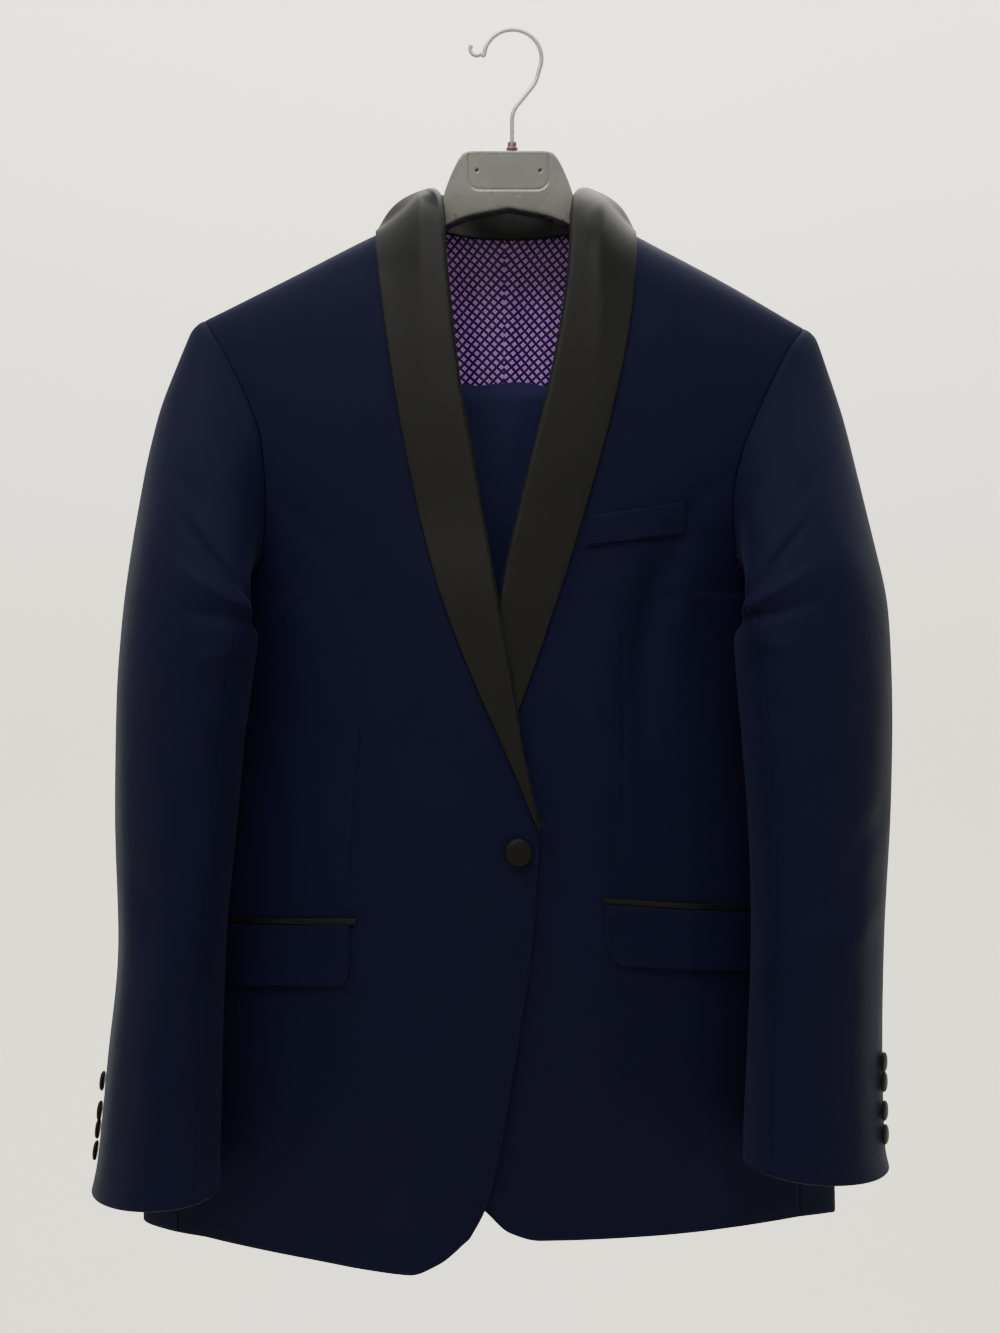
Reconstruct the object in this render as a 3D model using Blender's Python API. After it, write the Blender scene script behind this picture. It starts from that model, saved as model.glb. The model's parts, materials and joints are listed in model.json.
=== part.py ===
"""A shawl-collared dinner suit on its moulded hanger: jacket outside, trousers folded over the bar.

Metres, +Z up, the front looks along -Y and the viewer's right is +X. The origin is the inner top of
the hook's wire, where the hanger is held. Right and left in the names are the wearer's own.
"""
import math
import bpy
import bmesh
from mathutils import Vector

for old in list(bpy.data.objects):
    bpy.data.objects.remove(old, do_unlink=True)

# ---- driving sizes ---------------------------------------------------------------------------
CLOTH = 0.0018            # suiting with its canvas
SLEEVE_CLOTH = 0.0016
LINING_CLOTH = 0.0010
LAPEL_CLOTH = 0.0016
GAP = 0.0003              # between pieces that are sewn or lie on each other
SEAM_ANGLE = 0.0026       # half a seam's gap, as an angle round the body
SLEEVE_SEAM_ANGLE = 0.0022        # the same round a sleeve
LAP_LIFT = 0.0056         # how far the upper front stands off the lower one
ARMPIT = -0.430           # height of the underarm
NECK_HALF = 0.0625        # half width of the neck hollow
NECK_DEPTH = 0.037        # how far the neck hollow runs back
CROWN_POWER = 2.6         # squareness of the shoulder from front to back
FLANK = 0.40              # roundness of the front's flanks, 0 hollow to 1 oval
SIDE_SEAM = math.radians(62)      # front and side panels meet here, from the centre front
BACK_SEAM = math.radians(118)     # side and back panels meet here
RIGHT, LEFT = -1, 1               # the wearer's right is at -X


class Table:
    """Rows of sizes under named columns. The first column rises and is the key."""

    def __init__(self, names, rows):
        self.names = names.split()
        self.rows = sorted(rows)

    def slope(self, index, column):
        """Slope at a row, kept flat at a turning point so that nothing overshoots."""
        if index == 0 or index == len(self.rows) - 1:
            return 0.0 if len(self.rows) > 2 else self.chord(0, column)
        before = self.chord(index - 1, column)
        after = self.chord(index, column)
        if before * after <= 0:
            return 0.0
        return 2 * before * after / (before + after)

    def chord(self, index, column):
        low, high = self.rows[index], self.rows[index + 1]
        return (high[column] - low[column]) / (high[0] - low[0])

    def at(self, name, key):
        column = self.names.index(name)
        rows = self.rows
        if key <= rows[0][0]:
            return rows[0][column]
        if key >= rows[-1][0]:
            return rows[-1][column]
        index = max(n for n in range(len(rows) - 1) if rows[n][0] <= key)
        low, high = rows[index], rows[index + 1]
        span = high[0] - low[0]
        t = (key - low[0]) / span
        start, end = self.slope(index, column), self.slope(index + 1, column)
        if index == 0:
            start = self.chord(0, column)
        if index == len(rows) - 2:
            end = self.chord(index, column)
        return ((2 * t ** 3 - 3 * t ** 2 + 1) * low[column] + (t ** 3 - 2 * t ** 2 + t) * span * start
                + (3 * t ** 2 - 2 * t ** 3) * high[column] + (t ** 3 - t ** 2) * span * end)


# the jacket's body at each height: centre line, half width, side's depth, and reach of front and back
BODY = Table("height centre half side front back", [
    (-0.930, -0.0165, 0.266, 0.020, 0.070, 0.034),
    (-0.900, -0.0165, 0.266, 0.020, 0.071, 0.034),
    (-0.750, -0.0140, 0.256, 0.018, 0.084, 0.034),
    (-0.600, -0.0110, 0.243, 0.016, 0.092, 0.034),
    (-0.500, -0.0090, 0.238, 0.014, 0.088, 0.038),
    (-0.430, -0.0080, 0.236, 0.012, 0.082, 0.042),
    (-0.400, -0.0075, 0.256, 0.012, 0.080, 0.042),
    (-0.360, -0.0070, 0.290, 0.012, 0.079, 0.042),
    (-0.300, -0.0060, 0.310, 0.012, 0.078, 0.042),
    (-0.130, -0.0050, 0.310, 0.012, 0.078, 0.042)])

# the shoulder line across the jacket; its two tips and the neck points are rows of their own
SHOULDER = Table("across height", [
    (-0.300, -0.2520), (-0.231, -0.2190), (-0.165, -0.1868), (-0.101, -0.1550), (-0.062, -0.1385),
    (-0.048, -0.1345), (0.000, -0.1400), (0.048, -0.1345), (0.062, -0.1385), (0.093, -0.1555),
    (0.160, -0.1905), (0.221, -0.2250), (0.290, -0.2620)])

# each front's free edge: the cut-away below the button, and the roll line above it
FRONT_EDGE = {
    RIGHT: Table("height across", [
        (-0.893, -0.030), (-0.871, -0.019), (-0.826, -0.008), (-0.775, 0.000), (-0.732, 0.007),
        (-0.688, 0.013), (-0.645, 0.017), (-0.594, 0.019), (-0.545, 0.009), (-0.489, 0.000),
        (-0.418, -0.012), (-0.347, -0.024), (-0.275, -0.037), (-0.210, -0.046), (-0.160, -0.053),
        (-0.138, -0.0625)]),
    LEFT: Table("height across", [
        (-0.874, -0.020), (-0.845, -0.031), (-0.800, -0.036), (-0.700, -0.036), (-0.645, -0.032),
        (-0.594, -0.027), (-0.540, -0.022), (-0.489, -0.018), (-0.425, -0.008), (-0.345, 0.010),
        (-0.275, 0.027), (-0.210, 0.040), (-0.163, 0.047), (-0.138, 0.0625)])}

# the hem across each front, from the rounded corner's middle to the side seam
FRONT_HEM = {
    RIGHT: Table("across height", [
        (-0.230, -0.9080), (-0.154, -0.9150), (-0.110, -0.9195), (-0.074, -0.9210),
        (-0.052, -0.9120), (-0.030, -0.8930)]),
    LEFT: Table("across height", [
        (-0.020, -0.8740), (-0.001, -0.8910), (0.021, -0.8970), (0.108, -0.8975), (0.210, -0.8960)])}
BACK_HEM = -0.903
HEM_HEIGHT = -0.900       # where the fronts' turns round the body are read for the hem tables

# the panels' rows of points: 0 hem, 1 armpit, 2 shoulder line
LOWER_LEVELS = [(n / 10) ** 1.35 for n in range(11)]
UPPER_LEVELS = [1.012, 1.05] + [1 + n / 10 for n in range(1, 11)]
SHOULDER_SEAM = 0.006     # half the shoulder seam's gap, as a level

# the armhole's front and back lines, above the side panel
ARMHOLE = {
    RIGHT: Table("height front back", [
        (-0.425, -0.1980, -0.2080), (-0.402, -0.1840, -0.1960), (-0.359, -0.1800, -0.1880),
        (-0.316, -0.1830, -0.1880), (-0.282, -0.1950, -0.1970), (-0.241, -0.2170, -0.2170),
        (-0.219, -0.2310, -0.2310)]),
    LEFT: Table("height front back", [
        (-0.425, 0.1800, 0.1900), (-0.402, 0.1655, 0.1790), (-0.359, 0.1620, 0.1720),
        (-0.326, 0.1680, 0.1740), (-0.300, 0.1780, 0.1800), (-0.269, 0.1930, 0.1930),
        (-0.240, 0.2090, 0.2090), (-0.225, 0.2210, 0.2210)])}
ARMHOLE_DIP = 0.008       # the underarm lies this far below the panels' armhole corners
LOOP_TURN = math.radians(160)     # half the sleeve's turn that lies on fronts and backs

# the sleeve head, rings 1 to 4: its outer and inner edge, and how far each ring is from the armhole's
# loop (0) to the first full ring (1)
HEAD = {
    RIGHT: Table("ring share out_x out_z out_y in_x in_z in_y", [
        (1, 0.10, -0.2420, -0.2230, 0.000, -0.2400, -0.4330, 0.000),
        (2, 0.30, -0.2510, -0.2530, -0.004, -0.2230, -0.4350, -0.022),
        (3, 0.54, -0.2630, -0.2880, -0.008, -0.2030, -0.4400, -0.044),
        (4, 0.78, -0.2720, -0.3300, -0.013, -0.1880, -0.4480, -0.056)]),
    LEFT: Table("ring share out_x out_z out_y in_x in_z in_y", [
        (1, 0.10, 0.2310, -0.2290, 0.000, 0.2230, -0.4330, 0.000),
        (2, 0.30, 0.2390, -0.2600, -0.004, 0.2040, -0.4350, -0.024),
        (3, 0.54, 0.2490, -0.2950, -0.008, 0.1830, -0.4400, -0.047),
        (4, 0.78, 0.2580, -0.3370, -0.013, 0.1670, -0.4480, -0.060)])}
ARMHOLE_GAP = 0.0015      # the loop is this far outside the panels' line, clear of their faceted edges
HEAD_RINGS = 5
HEAD_FULLNESS = 0.006     # how far the head's front swells past a straight run
UNDERARM_CLEAR = (0.030, 0.016)   # how far out and up the head's back passes over the underarm seam

# sleeve rings down the arm: outer and inner edge, how deep each lies, and front and back reach
SLEEVE = {
    RIGHT: Table("ring out_x out_z in_x in_z out_y in_y front back", [
        (5, -0.2790, -0.3800, -0.1815, -0.4560, -0.019, -0.060, -0.097, -0.011),
        (6, -0.2860, -0.4400, -0.1860, -0.4860, -0.025, -0.058, -0.099, -0.015),
        (7, -0.2900, -0.5100, -0.1925, -0.5350, -0.028, -0.056, -0.100, -0.014),
        (8, -0.2905, -0.5900, -0.1990, -0.6000, -0.030, -0.055, -0.099, -0.013),
        (9, -0.2875, -0.6800, -0.2062, -0.6800, -0.030, -0.055, -0.098, -0.013),
        (10, -0.2955, -0.7620, -0.2088, -0.7620, -0.030, -0.055, -0.097, -0.012),
        (11, -0.3035, -0.8420, -0.2104, -0.8380, -0.030, -0.055, -0.096, -0.011),
        (12, -0.3080, -0.8630, -0.2104, -0.8580, -0.030, -0.055, -0.096, -0.011)]),
    LEFT: Table("ring out_x out_z in_x in_z out_y in_y front back", [
        (5, 0.2680, -0.3850, 0.1590, -0.4560, -0.019, -0.064, -0.099, -0.015),
        (6, 0.2780, -0.4400, 0.1610, -0.4860, -0.025, -0.063, -0.102, -0.019),
        (7, 0.2800, -0.5100, 0.1655, -0.5350, -0.028, -0.061, -0.103, -0.019),
        (8, 0.2780, -0.5900, 0.1705, -0.6000, -0.030, -0.060, -0.103, -0.019),
        (9, 0.2735, -0.6700, 0.1725, -0.6700, -0.030, -0.059, -0.102, -0.018),
        (10, 0.2720, -0.7500, 0.1700, -0.7500, -0.030, -0.058, -0.101, -0.017),
        (11, 0.2740, -0.8280, 0.1670, -0.8180, -0.030, -0.057, -0.100, -0.015),
        (12, 0.2775, -0.8460, 0.1670, -0.8360, -0.030, -0.057, -0.100, -0.015)])}
CUFF_RING = 12
SLEEVE_SEAMS = Table("ring front back", [         # where top and under sleeve meet, in degrees
    (0, 148, -60), (6, 140, -45), (12, 138, -24)])

# the shawl collar from the lapel's end (row 0) to the shoulder (row 7): roll edge and outer edge
LAPEL = {
    RIGHT: Table("row roll_x roll_z out_x out_z roll_lift", [
        (0, 0.0185, -0.5930, 0.0190, -0.5975, 0.0006), (1, 0.0090, -0.5450, -0.0010, -0.5490, 0.0006),
        (2, 0.0000, -0.4890, -0.0260, -0.4920, 0.0006), (3, -0.0120, -0.4180, -0.0530, -0.4200, 0.0008),
        (4, -0.0240, -0.3470, -0.0720, -0.3450, 0.0014), (5, -0.0370, -0.2750, -0.0855, -0.2720, 0.0026),
        (6, -0.0455, -0.2100, -0.0945, -0.2120, 0.0060), (7, -0.0520, -0.1620, -0.0995, -0.1740, 0.0120)]),
    LEFT: Table("row roll_x roll_z out_x out_z roll_lift", [
        (0, -0.0250, -0.5850, -0.0235, -0.5890, 0.0006), (1, -0.0220, -0.5400, -0.0080, -0.5450, 0.0006),
        (2, -0.0180, -0.4890, 0.0120, -0.4920, 0.0006), (3, -0.0080, -0.4250, 0.0340, -0.4280, 0.0008),
        (4, 0.0100, -0.3450, 0.0590, -0.3460, 0.0014), (5, 0.0270, -0.2750, 0.0780, -0.2720, 0.0026),
        (6, 0.0400, -0.2100, 0.0885, -0.2120, 0.0060), (7, 0.0470, -0.1630, 0.0920, -0.1740, 0.0120)])}
COLLAR_TOP = {RIGHT: (-0.0560, -0.1010), LEFT: (0.0530, 0.0930)}    # the same two on the shoulder line
COLLAR_STAND_OFF = 0.019          # the roll edge over the shoulder line
COLLAR_BACK = (0.0490, -0.1120)   # the roll edge's depth and height at the centre back
COLLAR_FALL = 0.60                # how far down the back the outer edge lies, as on upper_height()

TROUSER_LEFT, TROUSER_SEAM, TROUSER_RIGHT = -0.160, -0.050, 0.055
TROUSER_DROP = 0.515      # from the bar to each end
BAR_HEIGHT, BAR_RADIUS, BAR_REACH = -0.283, 0.005, 0.172
FOLD_OUTER = 0.0165       # the outer face of the fold over the bar
TROUSER_CLOTH = 0.0016
WAISTBAND = 0.038

HOOK_RADIUS, WIRE = 0.0219, 0.00175


# ---- materials and mesh helpers --------------------------------------------------------------
def finish(name, colour, roughness, metallic=0.0):
    material = bpy.data.materials.new(name)
    material.use_nodes = True
    shader = material.node_tree.nodes["Principled BSDF"]
    shader.inputs["Base Color"].default_value = (*colour, 1)
    shader.inputs["Roughness"].default_value = roughness
    shader.inputs["Metallic"].default_value = metallic
    return material


NAVY = (0.006, 0.008, 0.030)
BLACK = (0.012, 0.013, 0.011)
PURPLE = (0.13, 0.05, 0.24)
PLASTIC = (0.05, 0.05, 0.055)
STEEL = (0.55, 0.55, 0.55)
FERRULE = (0.06, 0.015, 0.012)


def add_object(name, points, faces, colour, roughness=0.8, metallic=0.0):
    """One named solid with its own material; its faces are turned outwards."""
    mesh = bpy.data.meshes.new(name)
    mesh.from_pydata([tuple(point) for point in points], [], faces)
    solid = bmesh.new()
    solid.from_mesh(mesh)
    bmesh.ops.recalc_face_normals(solid, faces=solid.faces[:])
    if solid.calc_volume(signed=True) < 0:
        bmesh.ops.reverse_faces(solid, faces=solid.faces[:])
    bmesh.ops.triangulate(solid, faces=solid.faces[:])
    solid.to_mesh(mesh)
    solid.free()
    mesh.shade_smooth()
    mesh.set_sharp_from_angle(angle=math.radians(40))
    mesh.materials.append(finish(name, colour, roughness, metallic))
    thing = bpy.data.objects.new(name, mesh)
    bpy.context.collection.objects.link(thing)
    return thing


def grid_shell(name, outer, inner, colour, roughness=0.8):
    """A cloth wall between two grids of points, closed round its four edges."""
    rows, columns = len(outer), len(outer[0])
    points = [point for grid in (outer, inner) for row in grid for point in row]
    start = rows * columns

    def at(row, column, layer):
        return layer * start + row * columns + column
    faces = []
    for row in range(rows - 1):
        for column in range(columns - 1):
            ring = [(row, column), (row, column + 1), (row + 1, column + 1), (row + 1, column)]
            faces.append([at(*corner, 0) for corner in ring])
            faces.append([at(*corner, 1) for corner in reversed(ring)])
    border = ([(0, column) for column in range(columns)]
              + [(row, columns - 1) for row in range(1, rows)]
              + [(rows - 1, column) for column in range(columns - 2, -1, -1)]
              + [(row, 0) for row in range(rows - 2, 0, -1)])
    for this, other in zip(border, border[1:] + border[:1]):
        faces.append([at(*this, 1), at(*other, 1), at(*other, 0), at(*this, 0)])
    return add_object(name, points, faces, colour, roughness)


def ring_solid(name, rings, colour, roughness=0.5, metallic=0.0):
    """A solid lofted through closed rings, with both ends filled."""
    count = len(rings[0])
    points = [point for ring in rings for point in ring]
    faces = [list(range(count)), [(len(rings) - 1) * count + n for n in reversed(range(count))]]
    for row in range(len(rings) - 1):
        for n in range(count):
            after = (n + 1) % count
            faces.append([row * count + n, (row + 1) * count + n,
                          (row + 1) * count + after, row * count + after])
    return add_object(name, points, faces, colour, roughness, metallic)


def tube(name, route, radius, sides, colour, roughness, metallic=0.0):
    """A round rod along a route that stays in the XZ plane."""
    rings = []
    for n, point in enumerate(route):
        before, after = route[max(n - 1, 0)], route[min(n + 1, len(route) - 1)]
        along = (Vector(after) - Vector(before)).normalized()
        across = Vector((0, 1, 0)).cross(along)
        rings.append([Vector(point) + radius * (math.cos(a) * across + math.sin(a) * Vector((0, 1, 0)))
                      for a in (2 * math.pi * k / sides for k in range(sides))])
    return ring_solid(name, rings, colour, roughness, metallic)


def lerp(a, b, t):
    return a + (b - a) * t


def smooth(value, low, high):
    t = min(max((value - low) / (high - low), 0.0), 1.0)
    return t * t * (3 - 2 * t)


# ---- the jacket's outer surface --------------------------------------------------------------
def ridge_depth(x):
    """The shoulder line's place from front to back: level, then round the neck hollow."""
    inside = max(0.0, 1 - (x / NECK_HALF) ** 2)
    return NECK_DEPTH * inside ** 0.75


def surface_depth(x, z, back):
    """The outer surface's Y over a place of the front or the back."""
    q = min(abs(x - BODY.at("centre", z)) / BODY.at("half", z), 0.99999)
    cosine = math.sqrt(1 - q * q)
    if back:
        flat = BODY.at("side", z) + BODY.at("back", z) * cosine
    else:
        flat = BODY.at("side", z) - BODY.at("front", z) * (FLANK * cosine + (1 - FLANK) * cosine ** 2.2)
    rise = min(max((z - ARMPIT) / (SHOULDER.at("height", x) - ARMPIT), 0.0), 0.99999)
    crown = (1 - rise ** CROWN_POWER) ** (1 / CROWN_POWER)
    ridge = ridge_depth(x)
    return ridge + (flat - ridge) * crown


def on_body(x, z, back=False, lift=0.0):
    """A point of the outer surface, moved out along its normal."""
    step = 1e-7
    half, centre = BODY.at("half", z), BODY.at("centre", z)
    x_in = centre + min(max(x - centre, -0.99998 * half), 0.99998 * half)
    z_in = min(z, ARMPIT + 0.99998 * (SHOULDER.at("height", x) - ARMPIT)) if z > ARMPIT else z
    here = surface_depth(x_in, z_in, back)
    toward = -step if x_in > centre else step
    slope_x = (surface_depth(x_in + toward, z_in, back) - here) / toward
    slope_z = (here - surface_depth(x_in, z_in - step, back)) / step
    sign = 1 if back else -1
    normal = Vector((-sign * slope_x, sign, -sign * slope_z)).normalized()
    return Vector((x, surface_depth(x, z, back), z)) + normal * lift


def around(angle, z, lift=0.0):
    """A point below the armpit, by its turn from the centre front: 90 degrees is the side."""
    x = BODY.at("centre", z) + BODY.at("half", z) * math.sin(angle)
    return on_body(x, z, math.cos(angle) < 0, lift)


def upper_height(x, share):
    """Heights from the armpit (share 0) to the shoulder line (1), closer where the cloth turns over."""
    sine, cosine = math.sin(share * math.pi / 2), math.cos(share * math.pi / 2)
    rise = sine / (sine ** CROWN_POWER + max(cosine, 0.0) ** CROWN_POWER) ** (1 / CROWN_POWER)
    return ARMPIT + rise * (SHOULDER.at("height", x) - ARMPIT)


def upper_share(x, z):
    """The other way round: the share of upper_height() at a height."""
    rise = min((z - ARMPIT) / (SHOULDER.at("height", x) - ARMPIT), 0.9999)
    return math.atan(rise / (1 - rise ** CROWN_POWER) ** (1 / CROWN_POWER)) / (math.pi / 2)


def lap(x, z, side):
    """How far the upper front is lifted where it crosses the lower one."""
    if side == LEFT:
        return 0.0
    return LAP_LIFT * smooth(x, -0.135, -0.055) * smooth(z, -0.365, -0.430)


def over_front(side, x, z, lift):
    return on_body(x, z, False, lift + lap(x, z, side))


# ---- jacket panels ---------------------------------------------------------------------------
def front_place(side, u, level):
    """Place (x, z) on a front: u from the free edge to the side."""
    if level <= 1:
        corner = FRONT_EDGE[side].rows[0]
        seam = side * (SIDE_SEAM - SEAM_ANGLE)
        start = math.asin((corner[1] - BODY.at("centre", corner[0])) / BODY.at("half", corner[0]))
        angle = lerp(start, seam, u)
        hem_x = BODY.at("centre", HEM_HEIGHT) + BODY.at("half", HEM_HEIGHT) * math.sin(angle)
        z = lerp(FRONT_HEM[side].at("height", hem_x), ARMPIT, level)
        centre, half = BODY.at("centre", z), BODY.at("half", z)
        edge = math.asin((FRONT_EDGE[side].at("across", z) - centre) / half)
        return centre + half * math.sin(lerp(edge, seam, u)), z
    share = (level - 1) * (1 - SHOULDER_SEAM)
    outer_x = armhole_edge(side, "front", share)
    inner_z = upper_height(FRONT_EDGE[side].rows[-1][1], share)
    inner_x = FRONT_EDGE[side].at("across", inner_z)
    x = lerp(inner_x, outer_x, u)
    return x, upper_height(x, share)


def armhole_across(side, column, z):
    """The armhole's line; below its lowest row it runs in to the side seam."""
    lowest = ARMHOLE[side].rows[0]
    seam = BODY.at("centre", ARMPIT) + side * BODY.at("half", ARMPIT) * math.sin(SIDE_SEAM)
    across = ARMHOLE[side].at(column, z)
    if z < lowest[0]:
        across = lerp(seam, across, smooth(z, ARMPIT, lowest[0]))
    return across


def armhole_edge(side, column, share):
    """Where a level of a front or back meets the armhole's line; the height follows the shoulder's slope."""
    across = ARMHOLE[side].rows[-1][1]
    for _ in range(6):
        across = armhole_across(side, column, upper_height(across, share)) - side * GAP / 2
    return across


def cloth_panel(name, place, rows, columns, thickness, colour, roughness=0.8):
    """A wall whose outer and inner faces come from place(u, row, lift); rows may be a plain count."""
    if isinstance(rows, int):
        rows = [n / rows for n in range(rows + 1)]
    outer = [[place(u / columns, v, 0.0) for u in range(columns + 1)] for v in rows]
    inner = [[place(u / columns, v, -thickness) for u in range(columns + 1)] for v in rows]
    return grid_shell(name, outer, inner, colour, roughness)


def make_front(name, side):
    def place(u, level, lift):
        x, z = front_place(side, u, level)
        return over_front(side, x, z, lift)
    return cloth_panel(name, place, LOWER_LEVELS + UPPER_LEVELS, 10, CLOTH, NAVY)


def make_side(name, side):
    def place(u, v, lift):
        angle = lerp(SIDE_SEAM + SEAM_ANGLE, BACK_SEAM - SEAM_ANGLE, u)
        hem_x = BODY.at("centre", HEM_HEIGHT) + side * BODY.at("half", HEM_HEIGHT) * math.sin(SIDE_SEAM)
        hem = lerp(FRONT_HEM[side].at("height", hem_x), BACK_HEM, u)
        top = ARMPIT - ARMHOLE_DIP * math.sin(math.pi * u)
        return around(side * angle, lerp(hem, top, v), lift)
    return cloth_panel(name, place, 9, 6, CLOTH, NAVY)


def make_back(name, side):
    def place(u, level, lift):
        return back_point(side, u, level, lift, BACK_HEM)
    return cloth_panel(name, place, LOWER_LEVELS[::2] + UPPER_LEVELS, 7, CLOTH, NAVY)


def back_point(side, u, level, lift, hem):
    """A back or its lining: u from the centre seam to the side."""
    if level <= 1:
        z = lerp(hem, ARMPIT, level)
        angle = lerp(math.pi - SEAM_ANGLE / 2, BACK_SEAM + SEAM_ANGLE, u)
        return around(side * angle, z, lift)
    share = (level - 1) * (1 - SHOULDER_SEAM)
    outer_x = armhole_edge(side, "back", share)
    x = lerp(BODY.at("centre", upper_height(0, share)) + side * GAP, outer_x, u)
    return on_body(x, upper_height(x, share), True, lift)


def make_back_lining(name, side):
    depth = CLOTH + 2 * GAP

    def place(u, level, lift):
        return back_point(side, u, level, lift - depth, BACK_HEM + 0.014)
    return cloth_panel(name, place, LOWER_LEVELS[::2] + UPPER_LEVELS[:-1], 7, LINING_CLOTH, PURPLE, 0.5)


# ---- sleeves ---------------------------------------------------------------------------------
def armhole_point(side, turn, lift):
    """The armhole's loop: 0 is the shoulder tip, the front comes first, half a turn is underarm."""
    back = math.sin(turn) < 0
    column = "back" if back else "front"
    table = ARMHOLE[side]
    top, bottom = table.rows[-1][0], table.rows[0][0]
    half_turn = abs(math.atan2(math.sin(turn), math.cos(turn)))
    if half_turn <= LOOP_TURN:
        reach = (1 - math.cos(half_turn)) / (1 - math.cos(LOOP_TURN))
        z = lerp(top, bottom, reach)
        return on_body(table.at(column, z) + side * ARMHOLE_GAP, z, back, lift)
    share = (half_turn - LOOP_TURN) / (math.pi - LOOP_TURN)
    angle = lerp(BACK_SEAM if back else SIDE_SEAM, math.pi / 2, share)
    z = lerp(bottom, ARMPIT - ARMHOLE_DIP, math.sin(share * math.pi / 2)) + GAP
    return around(side * angle, z, lift)


def sleeve_ring(side, ring, turn):
    """A point of the sleeve below its armhole."""
    table = SLEEVE[side]
    size = {name: table.at(name, ring) for name in table.names[1:]}
    sine, cosine = math.sin(turn), math.cos(turn)
    x = (size["out_x"] + size["in_x"]) / 2 + (size["out_x"] - size["in_x"]) / 2 * cosine
    z = (size["out_z"] + size["in_z"]) / 2 + (size["out_z"] - size["in_z"]) / 2 * cosine
    middle = (size["out_y"] + size["in_y"]) / 2 + (size["out_y"] - size["in_y"]) / 2 * cosine
    reach = size["front"] if sine > 0 else size["back"]
    y = middle + (reach - (size["out_y"] + size["in_y"]) / 2) * abs(sine)
    return Vector((x, y, z))


def sleeve_point(side, ring, turn):
    """The head runs from the armhole's loop to the first full ring, through its own outer and inner edge."""
    if ring >= HEAD_RINGS:
        return sleeve_ring(side, ring, turn)
    share, edges = head_edges(side, ring)
    point = armhole_point(side, turn, 0.0).lerp(sleeve_ring(side, HEAD_RINGS, turn), share)
    for (edge, at), near in zip(edges, ((1 + math.cos(turn)) / 2, (1 - math.cos(turn)) / 2)):
        straight = armhole_point(side, at, 0.0).lerp(sleeve_ring(side, HEAD_RINGS, at), share)
        point = point + (edge - straight) * near ** 3
    swell = math.sin(math.pi * share)
    point.y -= HEAD_FULLNESS * swell * max(math.sin(turn), 0.0)
    under = min(max(-3 * math.sin(turn), 0.0), 1.0) * ((1 - math.cos(turn)) / 2) ** 3
    return point + Vector((side * UNDERARM_CLEAR[0], 0, UNDERARM_CLEAR[1])) * swell * under


def head_edges(side, ring):
    """A head ring's share of the way, and its outer (turn 0) and inner (half a turn) points."""
    table = HEAD[side]
    first = table.rows[0][0]
    share = table.at("share", ring) * min(ring / first, 1.0)
    edges = []
    for edge, at in (("out", 0.0), ("in", math.pi)):
        point = Vector([table.at(f"{edge}_{axis}", ring) for axis in "xyz"])
        last = table.rows[-1][0]
        if ring > last:
            point = point.lerp(sleeve_ring(side, HEAD_RINGS, at), (ring - last) / (HEAD_RINGS - last))
        if ring < first:
            point = armhole_point(side, at, 0.0).lerp(point, ring / first)
        edges.append((point, at))
    if ring > table.rows[-1][0]:
        share = lerp(share, 1.0, ring - table.rows[-1][0])
    return share, edges


def sleeve_surface(side, ring, turn, lift):
    if ring < 1e-6:
        start = armhole_point(side, turn, lift)
        outward = sleeve_point(side, 1, turn) - armhole_point(side, turn, 0.0)
        return start + outward.normalized() * GAP
    step = 1e-4
    along = sleeve_point(side, ring + step, turn) - sleeve_point(side, ring - step, turn)
    across = sleeve_point(side, ring, turn + step) - sleeve_point(side, ring, turn - step)
    normal = across.cross(along).normalized() * side
    return sleeve_point(side, ring, turn) + normal * lift


def make_sleeve(name, side, under):
    def place(u, v, lift):
        ring = v * CUFF_RING
        front = math.radians(SLEEVE_SEAMS.at("front", ring)) - SLEEVE_SEAM_ANGLE
        back = math.radians(SLEEVE_SEAMS.at("back", ring)) + SLEEVE_SEAM_ANGLE
        turn = lerp(back, front, u)
        if under:
            seam = 2 * SLEEVE_SEAM_ANGLE
            turn = lerp(front + seam, back - seam + 2 * math.pi, u)
        return sleeve_surface(side, ring, turn, lift)
    return cloth_panel(name, place, 15, 9 if under else 12, SLEEVE_CLOTH, NAVY)


# ---- collar ----------------------------------------------------------------------------------
def collar_section(side, row, width, lift):
    """The shawl collar: rows 0 to 7 up the lapel, 8 the shoulder, 8 to 11 round the neck's back."""
    if row <= 8:
        return over_front(side, *lapel_place(side, row, width), lapel_lift(side, row, width) + lift)
    quarter = (row - 8) / 3 * math.pi / 2
    shoulder = over_front(side, *lapel_place(side, 8, 0), lapel_lift(side, 8, 0))
    reach, height = COLLAR_BACK
    fold = Vector((lerp(side * GAP, shoulder.x, math.cos(quarter)),
                   lerp(shoulder.y, reach, math.sin(quarter)),
                   lerp(shoulder.z, height, math.sin(quarter))))
    fall_x = lerp(side * GAP, COLLAR_TOP[side][1], math.cos(quarter) ** 0.8)
    fall_z = upper_height(fall_x, lerp(1.0, COLLAR_FALL, math.sin(quarter)))
    fall = on_body(fall_x, fall_z, True, 11 * GAP + LAPEL_CLOTH)
    round_neck = Vector((-math.sin(quarter) * side, math.cos(quarter), 0))
    outward = (fall - fold).cross(round_neck).normalized()
    if outward.dot(Vector((fold.x, 0.02, 0.05))) < 0:
        outward.negate()
    bulge = 0.0085 * math.sin(math.pi * width)
    return fold.lerp(fall, width) + outward * (bulge + lift)


def lapel_place(side, row, width):
    """Place (x, z) on the front; over row 7 it runs up to the shoulder line."""
    table = LAPEL[side]
    x = lerp(table.at("roll_x", row), table.at("out_x", row), width)
    z = lerp(table.at("roll_z", row), table.at("out_z", row), width)
    if row > 7:
        x = lerp(x, lerp(*COLLAR_TOP[side], width), row - 7)
        z = upper_height(x, lerp(upper_share(x, z), 0.998, row - 7))
    return x, z


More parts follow.
